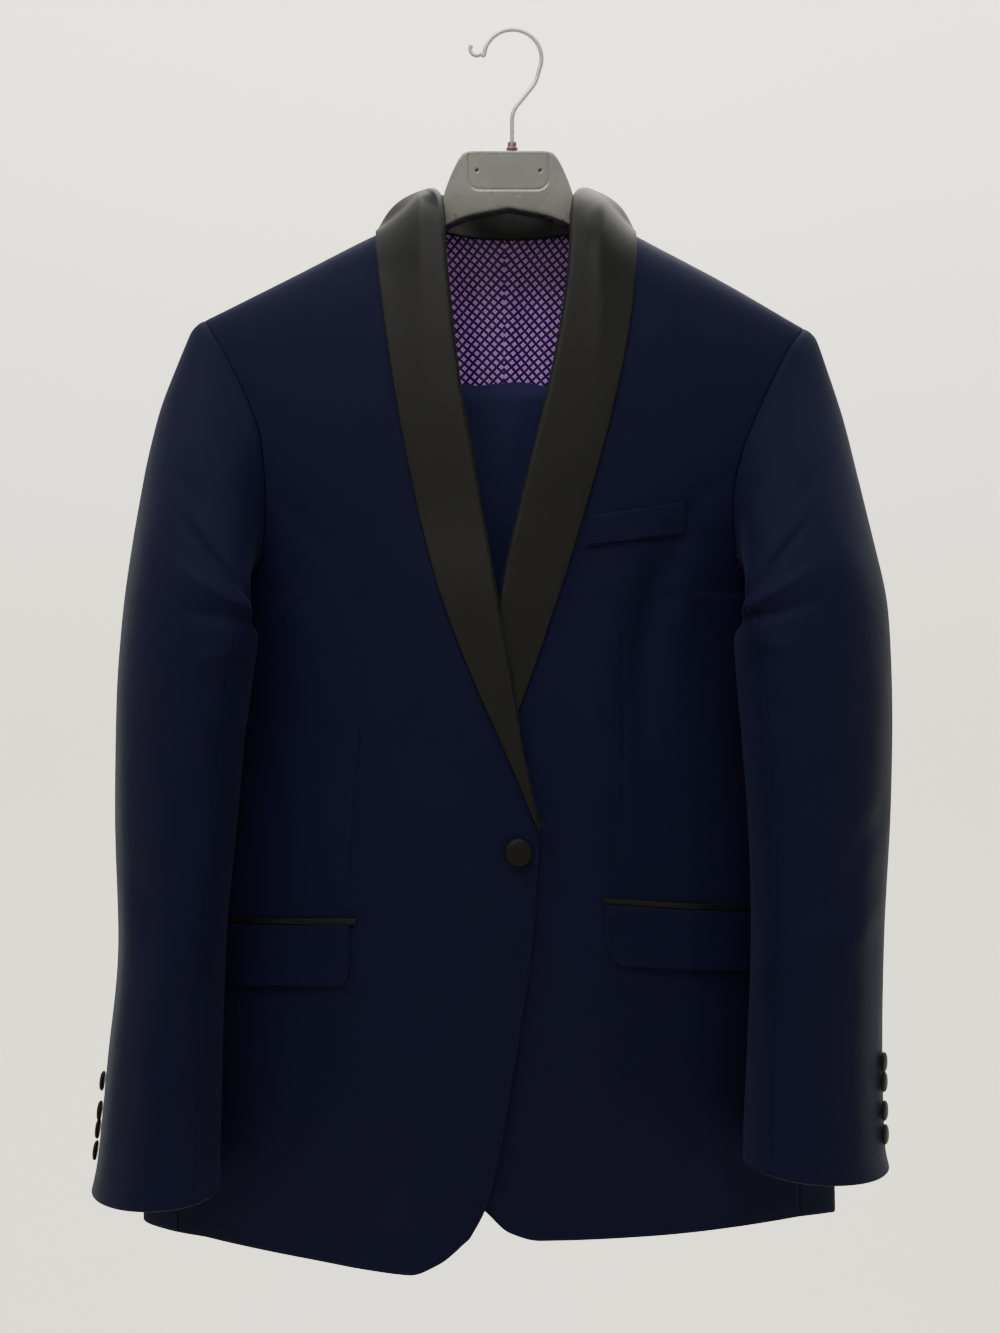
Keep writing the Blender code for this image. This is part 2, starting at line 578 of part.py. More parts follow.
def lapel_lift(side, row, width):
    """The lapel lies on the front at its outer edge and stands off it at its roll."""
    roll = lerp(LAPEL[side].at("roll_lift", row), COLLAR_STAND_OFF, max(row - 7, 0))
    return lerp(roll, 0.0, 1 - (1 - width) ** 1.6) + lerp(2, 8, max(row - 7, 0)) * GAP + LAPEL_CLOTH


def make_collar(name, side):
    rows = [0, 0.5, 1, 1.5, 2, 2.5, 3, 3.5, 4, 4.5, 5, 5.5, 6, 6.5, 7, 7.35, 7.7, 8, 8.6, 9.3, 10.1, 11]

    def place(u, v, lift):
        return collar_section(side, rows[round(v * (len(rows) - 1))], u, lift)
    return cloth_panel(name, place, len(rows) - 1, 4, LAPEL_CLOTH, BLACK, 0.5)


def make_collar_stand(name):
    """The band inside the neck: half an oval under the collar's fold, down to the lining."""
    half_width, reach, top_height, foot_height = 0.050, 0.0415, -0.1165, -0.1500
    inset = 0.0075            # the foot's way in from the neck's ridge

    def place(u, v, lift):
        turn = lerp(math.radians(14), math.radians(166), u)
        top = Vector((-half_width * math.cos(turn) - 0.002, reach * math.sin(turn), top_height))
        x = -half_width * math.cos(turn) - 0.001
        foot = Vector((x, ridge_depth(x) - inset, foot_height))
        outward = Vector((-math.cos(turn), math.sin(turn), 0))
        return top.lerp(foot, v) + outward * lift
    return cloth_panel(name, place, 3, 12, 0.0014, BLACK, 0.5)


# ---- pockets and buttons ---------------------------------------------------------------------
def make_patch(name, side, corners, thickness, columns, rows, colour, round_corner=0.0):
    """A strip that lies on a front, between four corners: front top, side top, front foot, side foot."""
    (ax, az), (bx, bz), (cx, cz), (dx, dz) = corners

    def place(u, v, lift):
        x = lerp(lerp(cx, dx, u), lerp(ax, bx, u), v)
        z = lerp(lerp(cz, dz, u), lerp(az, bz, u), v)
        reach = abs(x - cx)
        if round_corner and reach < round_corner:
            bend = round_corner - math.sqrt(round_corner ** 2 - (round_corner - reach) ** 2)
            z += bend * (1 - v)
        return over_front(side, x, z, 2 * GAP + thickness + lift)
    return cloth_panel(name, place, rows, columns, thickness, colour)


def make_button(name, centre, outward, radius, height, sides):
    """A covered button: a low dome on a short neck, turned about its own axis."""
    outward = outward.normalized()
    across = outward.cross(Vector((0, 0, 1))).normalized()
    upward = across.cross(outward)
    profile = [(0.55, 0.0), (0.97, 0.22), (1.0, 0.42), (0.86, 0.72), (0.50, 0.94), (0.12, 1.0)]
    rings = []
    for share, rise in profile:
        rings.append([centre + outward * height * rise + radius * share *
                      (math.cos(a) * across + math.sin(a) * upward)
                      for a in (2 * math.pi * k / sides for k in range(sides))])
    return ring_solid(name, rings, BLACK, 0.5)


def make_cuff_buttons(prefix, side, rings, turn, radius):
    for number, ring in enumerate(rings, start=1):
        lower = sleeve_surface(side, ring, turn, GAP * 4)
        outward = sleeve_surface(side, ring, turn, 0.01) - sleeve_surface(side, ring, turn, 0.0)
        make_button(f"{prefix}_{number}", lower, outward, radius, 0.0038, 10)


# ---- trousers --------------------------------------------------------------------------------
def fold_path(radius):
    """Points (y, z) of a layer that hangs over the bar, from its front end to its back end."""
    points = []
    for drop in (1.0, 0.66, 0.33):
        squeeze = 1 - 0.22 * drop
        points.append((-radius * squeeze, BAR_HEIGHT - TROUSER_DROP * drop))
    for step in range(7):
        angle = math.pi * step / 6
        points.append((-radius * math.cos(angle), BAR_HEIGHT + radius * math.sin(angle)))
    for drop in (0.33, 0.66, 1.0):
        squeeze = 1 - 0.22 * drop
        points.append((radius * squeeze, BAR_HEIGHT - TROUSER_DROP * drop))
    return points


def make_fold(name, left, right, outer_radius, inner_radius, colour, columns=2, edge=0.0):
    """A layer over the bar; with an edge, its two sides are rounded like a stack of folds."""
    outer_path, inner_path = fold_path(outer_radius), fold_path(inner_radius)

    def row(path, other, n):
        (y, z), (oy, oz) = path[n], other[n]
        line = []
        for k in range(columns + 1):
            x = lerp(left, right, k / columns)
            reach = min(x - left, right - x)
            share = 0.35 * (1 - smooth(reach, -0.001, edge)) if edge else 0.0
            line.append(Vector((x, lerp(y, oy, share), lerp(z, oz, share))))
        return line
    outer = [row(outer_path, inner_path, n) for n in range(len(outer_path))]
    inner = [row(inner_path, outer_path, n) for n in range(len(inner_path))]
    return grid_shell(name, outer, inner, colour)


def make_waistband(name):
    depth = fold_path(FOLD_OUTER)[-1][0]
    low = BAR_HEIGHT - TROUSER_DROP
    outer, inner = [], []
    for z in (low, low + WAISTBAND):
        line = [Vector((lerp(TROUSER_LEFT, TROUSER_RIGHT, k / 4), depth + 0.0032, z)) for k in range(5)]
        outer.append(line)
        inner.append([point - Vector((0, TROUSER_CLOTH, 0)) for point in line])
    return grid_shell(name, outer, inner, NAVY)


# ---- hanger ----------------------------------------------------------------------------------
HANGER = Table("reach top foot half_depth", [
    (0.000, -0.0915, -0.1355, 0.0080), (0.025, -0.0915, -0.1403, 0.0082),
    (0.0325, -0.0925, -0.1425, 0.0084), (0.0365, -0.0965, -0.1440, 0.0085),
    (0.043, -0.1090, -0.1470, 0.0088), (0.0490, -0.1260, -0.1505, 0.0088),
    (0.0525, -0.1450, -0.1570, 0.0090), (0.062, -0.1510, -0.1650, 0.0105),
    (0.100, -0.1690, -0.1870, 0.0125), (0.150, -0.1960, -0.2140, 0.0145),
    (0.200, -0.2250, -0.2430, 0.0150), (0.207, -0.2320, -0.2400, 0.0120)])


def make_hanger_body(name):
    reaches = [row[0] for row in HANGER.rows]
    stations = [-reach for reach in reversed(reaches[1:])] + reaches
    rings = []
    for x in stations:
        reach = abs(x)
        top, foot = HANGER.at("top", reach), HANGER.at("foot", reach)
        depth = HANGER.at("half_depth", reach)
        chamfer = min(0.35 * depth, 0.3 * (top - foot))
        shape = [(-depth, foot + chamfer), (-depth, top - chamfer), (-depth + chamfer, top),
                 (depth - chamfer, top), (depth, top - chamfer), (depth, foot + chamfer),
                 (depth - chamfer, foot), (-depth + chamfer, foot)]
        rings.append([Vector((x - 0.002, y, z)) for y, z in shape])
    return ring_solid(name, rings, PLASTIC, 0.4)


def make_hanger_bar(name):
    bend = 0.016
    post_top = HANGER.at("foot", BAR_REACH) - 2 * GAP
    half = [(BAR_REACH, post_top), (BAR_REACH, BAR_HEIGHT + bend)]
    for step in range(1, 4):
        angle = math.radians(30 * step)
        half.append((BAR_REACH - bend + bend * math.cos(angle), BAR_HEIGHT + bend - bend * math.sin(angle)))
    route = [(x - 0.002, 0, z) for x, z in half]
    route += [(-x - 0.002, 0, z) for x, z in reversed(half)]
    return tube(name, route, BAR_RADIUS, 10, PLASTIC, 0.4)


def make_hook(name):
    """The hook: a straight stem, a lean to the right, most of a circle, and a small curl at its end."""
    middle = Vector((0.0012, 0, -(HOOK_RADIUS - WIRE)))
    route = [(0.0008, 0, -0.0905), (0.0008, 0, -0.0760), (0.0010, 0, -0.0650), (0.0035, 0, -0.0575),
             (0.0110, 0, -0.0480), (0.0182, 0, -0.0385)]
    for step in range(13):
        angle = math.radians(-22 + 196 * step / 12)
        route.append(tuple(middle + HOOK_RADIUS * Vector((math.cos(angle), 0, math.sin(angle)))))
    curl = Vector((-0.0258, 0, -0.0128))
    for step in range(1, 7):
        angle = math.radians(-20 - 190 * step / 6)
        route.append(tuple(curl + 0.0050 * Vector((math.cos(angle), 0, math.sin(angle)))))
    return tube(name, route, WIRE, 10, STEEL, 0.25, 1.0)


def make_ferrule(name):
    profile = [(0.0046, -0.0912), (0.0046, -0.0880), (0.0036, -0.0868), (0.0036, -0.0838)]
    bore = WIRE + GAP
    outline = profile + [(bore, -0.0838), (bore, -0.0912)]
    sides = 12
    points, faces = [], []
    for k in range(sides):
        angle = 2 * math.pi * k / sides
        points += [Vector((0.0008 + r * math.cos(angle), r * math.sin(angle), z)) for r, z in outline]
    count = len(outline)
    for k in range(sides):
        after = (k + 1) % sides
        for n in range(count):
            m = (n + 1) % count
            faces.append([k * count + n, after * count + n, after * count + m, k * count + m])
    return add_object(name, points, faces, FERRULE, 0.4)


# ---- the whole suit --------------------------------------------------------------------------
make_hook("hanger_hook")
make_ferrule("hook_ferrule")
make_hanger_body("hanger_body")
make_hanger_bar("hanger_bar")
for word, hand in (("right", RIGHT), ("left", LEFT)):
    make_front(f"front_{word}", hand)
    make_side(f"side_{word}", hand)
    make_back(f"back_{word}", hand)
    make_back_lining(f"back_lining_{word}", hand)
    make_sleeve(f"top_sleeve_{word}", hand, under=False)
    make_sleeve(f"under_sleeve_{word}", hand, under=True)
    make_collar(f"shawl_collar_{word}", hand)
make_collar_stand("collar_stand")

make_patch("breast_welt", LEFT, [(0.0560, -0.3722), (0.1262, -0.3603), (0.0530, -0.3937),
                                 (0.1255, -0.3840)], 0.0012, 4, 2, NAVY)
make_patch("pocket_jet_right", RIGHT, [(-0.1111, -0.6608), (-0.2380, -0.6675), (-0.1111, -0.6651),
                                       (-0.2380, -0.6718)], 0.0011, 6, 1, BLACK)
make_patch("pocket_jet_left", LEFT, [(0.0657, -0.6449), (0.2020, -0.6600), (0.0657, -0.6490),
                                     (0.2020, -0.6640)], 0.0011, 6, 1, BLACK)
make_patch("pocket_flap_right", RIGHT, [(-0.1161, -0.6658), (-0.2380, -0.6725), (-0.1165, -0.7100),
                                        (-0.2380, -0.7165)], 0.0018, 8, 3, NAVY, 0.010)
make_patch("pocket_flap_left", LEFT, [(0.0664, -0.6496), (0.2020, -0.6646), (0.0700, -0.6940),
                                      (0.2020, -0.7070)], 0.0018, 8, 3, NAVY, 0.010)
button_foot = over_front(RIGHT, 0.0045, -0.6108, 2 * GAP)
button_way = over_front(RIGHT, 0.0045, -0.6108, 0.01) - over_front(RIGHT, 0.0045, -0.6108, 0.0)
make_button("front_button", button_foot, button_way, 0.0100, 0.0052, 14)
make_cuff_buttons("cuff_button_right", RIGHT, (10.25, 10.45, 10.65, 10.85), math.radians(8), 0.0073)
make_cuff_buttons("cuff_button_left", LEFT, (10.15, 10.355, 10.56, 10.765), math.radians(30), 0.0073)

make_fold("trouser_back_panel", TROUSER_LEFT, TROUSER_SEAM - GAP, FOLD_OUTER,
          FOLD_OUTER - TROUSER_CLOTH, NAVY)
make_fold("trouser_front_panel", TROUSER_SEAM, TROUSER_RIGHT, FOLD_OUTER,
          FOLD_OUTER - TROUSER_CLOTH, NAVY)
make_fold("trouser_folded_layers", TROUSER_LEFT + 0.002, TROUSER_RIGHT - 0.002,
          FOLD_OUTER - TROUSER_CLOTH - GAP, BAR_RADIUS + 2 * GAP, NAVY, 6, 0.012)
make_waistband("trouser_waistband")
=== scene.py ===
# %% [markdown]
# # A dinner suit on its hanger
# The jacket has a shawl collar faced with ribbed satin, and hangs open on a moulded hanger with the
# trousers folded over the bar inside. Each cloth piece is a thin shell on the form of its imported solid.
# This file makes those shells, their creases and seams, the trims, the hanger and the finishes.

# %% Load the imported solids
import json
import math
import mathutils
import bpy
import numpy as np
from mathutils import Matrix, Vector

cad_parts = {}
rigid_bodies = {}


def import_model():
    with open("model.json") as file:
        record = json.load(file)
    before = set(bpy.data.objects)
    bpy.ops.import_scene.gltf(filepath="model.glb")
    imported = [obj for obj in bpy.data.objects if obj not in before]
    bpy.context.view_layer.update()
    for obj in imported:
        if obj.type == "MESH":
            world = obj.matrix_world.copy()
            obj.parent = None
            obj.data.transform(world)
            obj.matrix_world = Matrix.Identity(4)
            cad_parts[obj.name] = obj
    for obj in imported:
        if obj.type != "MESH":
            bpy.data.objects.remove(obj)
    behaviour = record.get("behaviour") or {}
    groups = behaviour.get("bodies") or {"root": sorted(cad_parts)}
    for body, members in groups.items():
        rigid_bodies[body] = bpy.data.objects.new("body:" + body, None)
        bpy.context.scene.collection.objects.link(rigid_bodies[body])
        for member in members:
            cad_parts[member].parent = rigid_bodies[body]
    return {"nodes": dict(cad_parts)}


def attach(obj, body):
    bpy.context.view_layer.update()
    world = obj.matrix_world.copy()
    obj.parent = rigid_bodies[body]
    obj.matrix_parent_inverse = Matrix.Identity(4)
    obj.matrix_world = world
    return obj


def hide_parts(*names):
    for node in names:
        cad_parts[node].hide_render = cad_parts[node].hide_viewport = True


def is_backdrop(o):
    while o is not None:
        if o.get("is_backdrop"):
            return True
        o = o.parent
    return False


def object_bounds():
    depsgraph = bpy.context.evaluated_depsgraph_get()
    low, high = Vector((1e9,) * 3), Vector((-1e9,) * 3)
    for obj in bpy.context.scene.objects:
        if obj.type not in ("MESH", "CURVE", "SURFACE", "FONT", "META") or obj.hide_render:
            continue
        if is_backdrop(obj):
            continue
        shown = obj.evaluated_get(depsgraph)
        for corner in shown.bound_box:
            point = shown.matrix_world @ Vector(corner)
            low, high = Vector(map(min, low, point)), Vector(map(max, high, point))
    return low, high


for old in list(bpy.data.objects):
    bpy.data.objects.remove(old, do_unlink=True)
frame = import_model()
cad_low, cad_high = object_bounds()
print("packed pieces:", len(frame["nodes"]), "box", tuple(cad_low), tuple(cad_high))

# %% [markdown]
# ## Sizes in tables
# A tailor's draft gives sizes at a few heights and lets a smooth line join them. The same is done here:
# a table has named columns and few rows, and a smooth curve that never overshoots runs between them.

# %% A table that can be read between its rows
RIGHT, LEFT = -1, 1               # the wearer's right is at -X
PI = math.pi


class Table:
    def __init__(self, names, rows):
        self.names = names.split()
        self.rows = np.array(sorted(rows), float)

    def at(self, name, key):
        keys, column = self.rows[:, 0], self.rows[:, self.names.index(name)]
        spans = np.diff(keys)
        chords = np.diff(column) / spans
        before, after = chords[:-1], chords[1:]
        turns = before * after <= 0
        inner = np.where(turns, 0.0, 2 * before * after / np.where(turns, 1.0, before + after))
        slopes = np.concatenate([chords[:1], inner, chords[-1:]])
        key = np.clip(np.asarray(key, float), keys[0], keys[-1])
        n = np.clip(np.searchsorted(keys, key, side="right") - 1, 0, len(spans) - 1)
        t = (key - keys[n]) / spans[n]
        return ((2 * t ** 3 - 3 * t ** 2 + 1) * column[n] + (t ** 3 - 2 * t ** 2 + t) * spans[n] * slopes[n]
                + (3 * t ** 2 - 2 * t ** 3) * column[n + 1] + (t ** 3 - t ** 2) * spans[n] * slopes[n + 1])


def lerp(a, b, t):
    return a + (b - a) * t


def smooth(value, low, high):
    t = np.clip((value - low) / (high - low), 0.0, 1.0)
    return t * t * (3 - 2 * t)


# the jacket's body at each height: centre line, half width, side's depth, and reach of front and back
BODY = Table("height centre half side front back", [
    (-0.930, -0.0165, 0.266, 0.020, 0.070, 0.034),
    (-0.900, -0.0165, 0.266, 0.020, 0.071, 0.034),
    (-0.750, -0.0140, 0.256, 0.018, 0.084, 0.034),
    (-0.600, -0.0110, 0.243, 0.016, 0.092, 0.034),
    (-0.500, -0.0090, 0.238, 0.014, 0.088, 0.038),
    (-0.430, -0.0080, 0.236, 0.012, 0.082, 0.042),
    (-0.400, -0.0075, 0.256, 0.012, 0.080, 0.042),
    (-0.360, -0.0070, 0.290, 0.012, 0.079, 0.042),
    (-0.300, -0.0060, 0.310, 0.012, 0.078, 0.042),
    (-0.130, -0.0050, 0.310, 0.012, 0.078, 0.042)])

# the shoulder line across the jacket
SHOULDER = Table("across height", [
    (-0.300, -0.2520), (-0.231, -0.2190), (-0.165, -0.1868), (-0.101, -0.1550), (-0.062, -0.1385),
    (-0.048, -0.1345), (0.000, -0.1400), (0.048, -0.1345), (0.062, -0.1385), (0.093, -0.1555),
    (0.160, -0.1905), (0.221, -0.2250), (0.290, -0.2620)])

ARMPIT = -0.430           # height of the underarm
NECK_HALF, NECK_DEPTH = 0.0625, 0.037     # the neck hollow's half width and depth
CROWN_POWER, FLANK = 2.6, 0.40            # squareness of the shoulder, roundness of the flanks
SIDE_SEAM, BACK_SEAM = math.radians(62), math.radians(118)
LAP_LIFT = 0.0056         # the upper front stands off the lower one
print("shoulder tips at", SHOULDER.rows[1], SHOULDER.rows[-2])

# %% [markdown]
# ## The jacket's surface
# Front and back are one surface in front of and behind a ridge, which is the shoulder line. A place is
# named by its x and z, the surface gives its depth, and a lift moves the point out along the surface's
# own direction. So a crease is only a lift that changes from place to place.

# %% Depth, direction and lift


def ridge_depth(x):
    inside = np.maximum(0.0, 1 - (x / NECK_HALF) ** 2)
    return NECK_DEPTH * inside ** 0.75


def section_depth(x, z, back):
    """The oval section at one height, and how far out (0 to 1) the place is in it."""
    q = np.minimum(np.abs(x - BODY.at("centre", z)) / BODY.at("half", z), 0.99999)
    cosine = np.sqrt(1 - q * q)
    behind = BODY.at("side", z) + BODY.at("back", z) * cosine
    ahead = BODY.at("side", z) - BODY.at("front", z) * (FLANK * cosine + (1 - FLANK) * cosine ** 2.2)
    return np.where(back, behind, ahead), q


EASING = 0.045            # sections this far above and below are eased into each other


def surface_depth(x, z, back):
    """Sections eased into each other up and down, but kept exact where front meets back."""
    plain, q = section_depth(x, z, back)
    above, below = (section_depth(x, z + step, back)[0] for step in (EASING, -EASING))
    flat = lerp(plain / 2 + (above + below) / 4, plain, smooth(q, 0.80, 0.985))
    rise = np.clip((z - ARMPIT) / (SHOULDER.at("height", x) - ARMPIT), 0.0, 0.99999)
    crown = (1 - rise ** CROWN_POWER) ** (1 / CROWN_POWER)
    ridge = ridge_depth(x)
    return ridge + (flat - ridge) * crown


def unit(vectors):
    return vectors / np.maximum(np.linalg.norm(vectors, axis=-1, keepdims=True), 1e-12)


def on_body(x, z, back=False, lift=0.0):
    x, z = np.broadcast_arrays(np.asarray(x, float), np.asarray(z, float))
    step = 1e-6
    half, centre = BODY.at("half", z), BODY.at("centre", z)
    x_in = centre + np.clip(x - centre, -0.9998 * half, 0.9998 * half)
    top = ARMPIT + 0.9996 * (SHOULDER.at("height", x) - ARMPIT)
    z_in = np.where(z > ARMPIT, np.minimum(z, top), z)
    here = surface_depth(x_in, z_in, back)
    toward = np.where(x_in > centre, -step, step)
    slope_x = (surface_depth(x_in + toward, z_in, back) - here) / toward
    slope_z = (here - surface_depth(x_in, z_in - step, back)) / step
    sign = np.where(back, 1.0, -1.0) * np.ones_like(x)
    normal = unit(np.stack([-sign * slope_x, sign, -sign * slope_z], axis=-1))
    point = np.stack([x, surface_depth(x, z, back), z], axis=-1)
    return point + normal * np.asarray(lift)[..., None]


def around(angle, z, lift=0.0):
    """A place below the armpit by its turn from the centre front; 90 degrees is the side."""
    x = BODY.at("centre", z) + BODY.at("half", z) * np.sin(angle)
    return on_body(x, z, np.cos(angle) < 0, lift)


def upper_height(x, share):
    """Heights from the armpit (share 0) to the shoulder line (1)."""
    sine, cosine = np.sin(share * PI / 2), np.maximum(np.cos(share * PI / 2), 0.0)
    rise = sine / (sine ** CROWN_POWER + cosine ** CROWN_POWER) ** (1 / CROWN_POWER)
    return ARMPIT + rise * (SHOULDER.at("height", x) - ARMPIT)


def upper_share(x, z):
    rise = np.minimum((z - ARMPIT) / (SHOULDER.at("height", x) - ARMPIT), 0.9999)
    return np.arctan(rise / (1 - rise ** CROWN_POWER) ** (1 / CROWN_POWER)) / (PI / 2)


print("chest depth at the centre:", surface_depth(0.05, -0.45, False))

# %% [markdown]
# ## Creases
# Pressed wool shows few creases: long shallow ones where the cloth hangs from the shoulder, short ones
# at the armholes, and soft rolls by the button. Each is a row: where it starts and ends, its width and
# its height, which is negative for a trough. They are placed one by one and none is like the next.

# %% Creases as rows of start, end, width and height


def crease_lift(u, v, rows):
    """The sum of soft ridges and troughs at places (u, v); each fades at its two ends."""
    lift = np.zeros(np.broadcast(u, v).shape)
    for start_u, start_v, end_u, end_v, width, height in rows:
        along_u, along_v = end_u - start_u, end_v - start_v
        length = math.hypot(along_u, along_v)
        t = ((u - start_u) * along_u + (v - start_v) * along_v) / length ** 2
        across = ((u - start_u) * along_v - (v - start_v) * along_u) / length
        fade = smooth(t, -0.12, 0.28) * (1 - smooth(t, 0.72, 1.12))
        bow = width * 0.8 * np.sin(PI * np.clip(t, 0, 1))
        lift += height * fade * np.exp(-((across - bow) / width) ** 2)
    return lift


FRONT_CREASES = {
    RIGHT: [
        (-0.100, -0.300, -0.060, -0.560, 0.020, -0.0016), (-0.150, -0.300, -0.125, -0.520, 0.018, 0.0012),
        (0.000, -0.610, -0.085, -0.640, 0.007, -0.0013), (-0.010, -0.630, -0.110, -0.690, 0.009, 0.0011),
        (-0.030, -0.575, -0.095, -0.585, 0.008, 0.0009), (-0.012, -0.640, -0.060, -0.760, 0.012, -0.0012),
        (-0.075, -0.720, -0.060, -0.900, 0.016, 0.0016), (-0.130, -0.730, -0.135, -0.910, 0.014, -0.0015),
        (-0.175, -0.560, -0.190, -0.830, 0.013, 0.0014), (-0.170, -0.350, -0.120, -0.400, 0.009, -0.0012),
        (-0.178, -0.395, -0.140, -0.460, 0.008, 0.0010), (-0.075, -0.190, -0.150, -0.215, 0.014, -0.0008)],
    LEFT: [
        (0.118, -0.385, 0.096, -0.540, 0.012, -0.0040), (0.090, -0.395, 0.064, -0.560, 0.014, 0.0022),
        (0.040, -0.560, 0.048, -0.690, 0.012, -0.0011), (0.015, -0.640, 0.020, -0.830, 0.014, 0.0014),
        (0.090, -0.720, 0.088, -0.890, 0.017, -0.0016), (0.140, -0.560, 0.150, -0.850, 0.015, 0.0015),
        (0.155, -0.345, 0.115, -0.400, 0.009, -0.0012), (0.150, -0.395, 0.122, -0.450, 0.008, 0.0010),
        (0.100, -0.230, 0.120, -0.340, 0.018, 0.0011), (0.055, -0.720, 0.046, -0.860, 0.010, 0.0009)]}
BACK_CREASES = [
    (-0.085, -0.215, -0.150, -0.330, 0.016, -0.0016), (0.080, -0.220, 0.140, -0.345, 0.015, -0.0014),
    (-0.030, -0.170, -0.035, -0.400, 0.018, 0.0013), (0.045, -0.185, 0.040, -0.430, 0.017, 0.0012),
    (-0.110, -0.430, -0.118, -0.760, 0.020, -0.0021), (0.095, -0.450, 0.110, -0.800, 0.018, -0.0018),
    (-0.060, -0.600, -0.068, -0.900, 0.015, 0.0017), (0.050, -0.620, 0.046, -0.900, 0.016, 0.0016),
    (-0.165, -0.520, -0.180, -0.880, 0.014, 0.0016), (0.155, -0.500, 0.168, -0.870, 0.015, 0.0017),
    (-0.150, -0.380, -0.100, -0.440, 0.010, -0.0013), (0.140, -0.375, 0.098, -0.425, 0.009, -0.0012)]
print("creases on the fronts:", [len(rows) for rows in FRONT_CREASES.values()])

# %% [markdown]
# ## From a grid of points to a cloth shell
# A piece of cloth is a wall with two faces and a rounded turned edge. The grid gives the outer face, the
# inner face lies a cloth's thickness behind it, and a row of points between them rounds the rim. The UV
# map holds the cloth's own length and width in metres, so that a weave follows the cut.

# %% The shell maker
CLOTH, SLEEVE_CLOTH, LINING_CLOTH, LAPEL_CLOTH = 0.0018, 0.0016, 0.0010, 0.0016
EDGE_STEPS = [0.0, 0.0018, 0.0045, 0.009]     # shares of a panel at which its edges are rounded


def spaced(count):
    """Even shares from 0 to 1 with more of them at both ends, for the rounded edges."""
    even = np.linspace(0, 1, count + 1)[1:-1]
    ends = np.array(EDGE_STEPS)
    return np.concatenate([ends, even[(even > 0.012) & (even < 0.988)], 1 - ends[::-1]])


def rolled(share, drop=0.0009):
    """How far a panel's edge turns in, by the share of its width."""
    near = np.clip(1 - np.minimum(share, 1 - share) / EDGE_STEPS[-1], 0, 1)
    return -drop * (1 - np.sqrt(1 - near ** 2))


def grid_normals(points):
    along, across = np.gradient(points, axis=0), np.gradient(points, axis=1)
    return unit(np.cross(along, across))


def arc(points, axis):
    steps = np.linalg.norm(np.diff(points, axis=axis), axis=-1)
    zero = np.zeros_like(np.take(steps, [0], axis=axis))
    return np.concatenate([zero, np.cumsum(steps, axis=axis)], axis=axis)


def mesh_object(name, points, faces, material, loops_uv=None):
    mesh = bpy.data.meshes.new(name)
    mesh.from_pydata(points.tolist(), [], faces.tolist() if hasattr(faces, "tolist") else faces)
    mesh.shade_smooth()
    if loops_uv is not None:
        order = np.zeros(len(mesh.loops), int)
        mesh.loops.foreach_get("vertex_index", order)
        layer = mesh.uv_layers.new(name="cloth")
        layer.data.foreach_set("uv", loops_uv[order].astype(np.float32).ravel())
    mesh.materials.append(material)
    piece = bpy.data.objects.new(name, mesh)
    bpy.context.scene.collection.objects.link(piece)
    return piece


def cloth_shell(name, points, normals, thickness, material):
    """Points and normals are grids; the normals point away from the cloth's inner side."""
    rows, columns = points.shape[:2]
    turning = np.cross(points[1:-1, 2:] - points[1:-1, :-2], points[2:, 1:-1] - points[:-2, 1:-1])
    outward = np.sum(turning * normals[1:-1, 1:-1])
    inner = points - normals * thickness
    border = np.array([(0, c) for c in range(columns)] + [(r, columns - 1) for r in range(1, rows)]
                      + [(rows - 1, c) for c in range(columns - 2, -1, -1)]
                      + [(r, 0) for r in range(rows - 2, 0, -1)])
    edge = (points + inner)[border[:, 0], border[:, 1]] / 2
    inside = points[np.clip(border[:, 0], 1, rows - 2), np.clip(border[:, 1], 1, columns - 2)]
    edge += unit(points[border[:, 0], border[:, 1]] - inside) * thickness * 0.4
    total = rows * columns
    index = np.arange(total).reshape(rows, columns)
    quads = np.stack([index[:-1, :-1], index[:-1, 1:], index[1:, 1:], index[1:, :-1]], axis=-1).reshape(-1, 4)
    ring = index[border[:, 0], border[:, 1]]
    middle = 2 * total + np.arange(len(border))
    after, middle_after = np.roll(ring, -1), np.roll(middle, -1)
    faces = np.concatenate([
        quads, quads[:, ::-1] + total,
        np.stack([after, ring, middle, middle_after], axis=-1),
        np.stack([middle_after, middle, ring + total, after + total], axis=-1)])
    if outward < 0:
        faces = faces[:, ::-1]
    across, along = arc(points, 1), arc(points, 0)
    uv = np.stack([across - across[:, columns // 2:columns // 2 + 1], along], axis=-1).reshape(-1, 2)
    uv = np.concatenate([uv, uv, uv[ring]])
    every = np.concatenate([points.reshape(-1, 3), inner.reshape(-1, 3), edge])
    piece = mesh_object(name, every, faces, material, uv)
    diagonals = np.cross(points[1:, 1:] - points[:-1, :-1], points[1:, :-1] - points[:-1, 1:])
    cell = np.linalg.norm(diagonals, axis=-1)
    piece["cut"] = [float(across[:, -1].max()), float(along[-1].max()), float(cell.sum() / 2)]
    return piece


NARROWEST_SHEET = 0.012   # a jetting is a strip narrower than this


def declare(piece, nodes):
    """The piece rides on the suit's one body and stands for its solids, which are hidden; its cut is printed.
    """
    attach(piece, "root")
    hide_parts(*nodes)
    width, length, area = piece["cut"]
    if min(width, length) > NARROWEST_SHEET:
        round(min(area, width * length * 0.999), 4)
    print(f"{piece.name}: cut {width * 1000:.0f} x {length * 1000:.0f} mm, {len(piece.data.polygons)} faces")
    return piece


# %% [markdown]
# ## Finishes
# The wool is a fine worsted twill, midnight blue, with a low sheen that lifts where it turns from the
# light. The collar is a ribbed black satin that keeps a green-grey cast. A finish has one function. The
# weave is a bump in the cloth's own coordinates, and slow noise shifts the colour as worn cloth does.

# %% Helpers for node trees


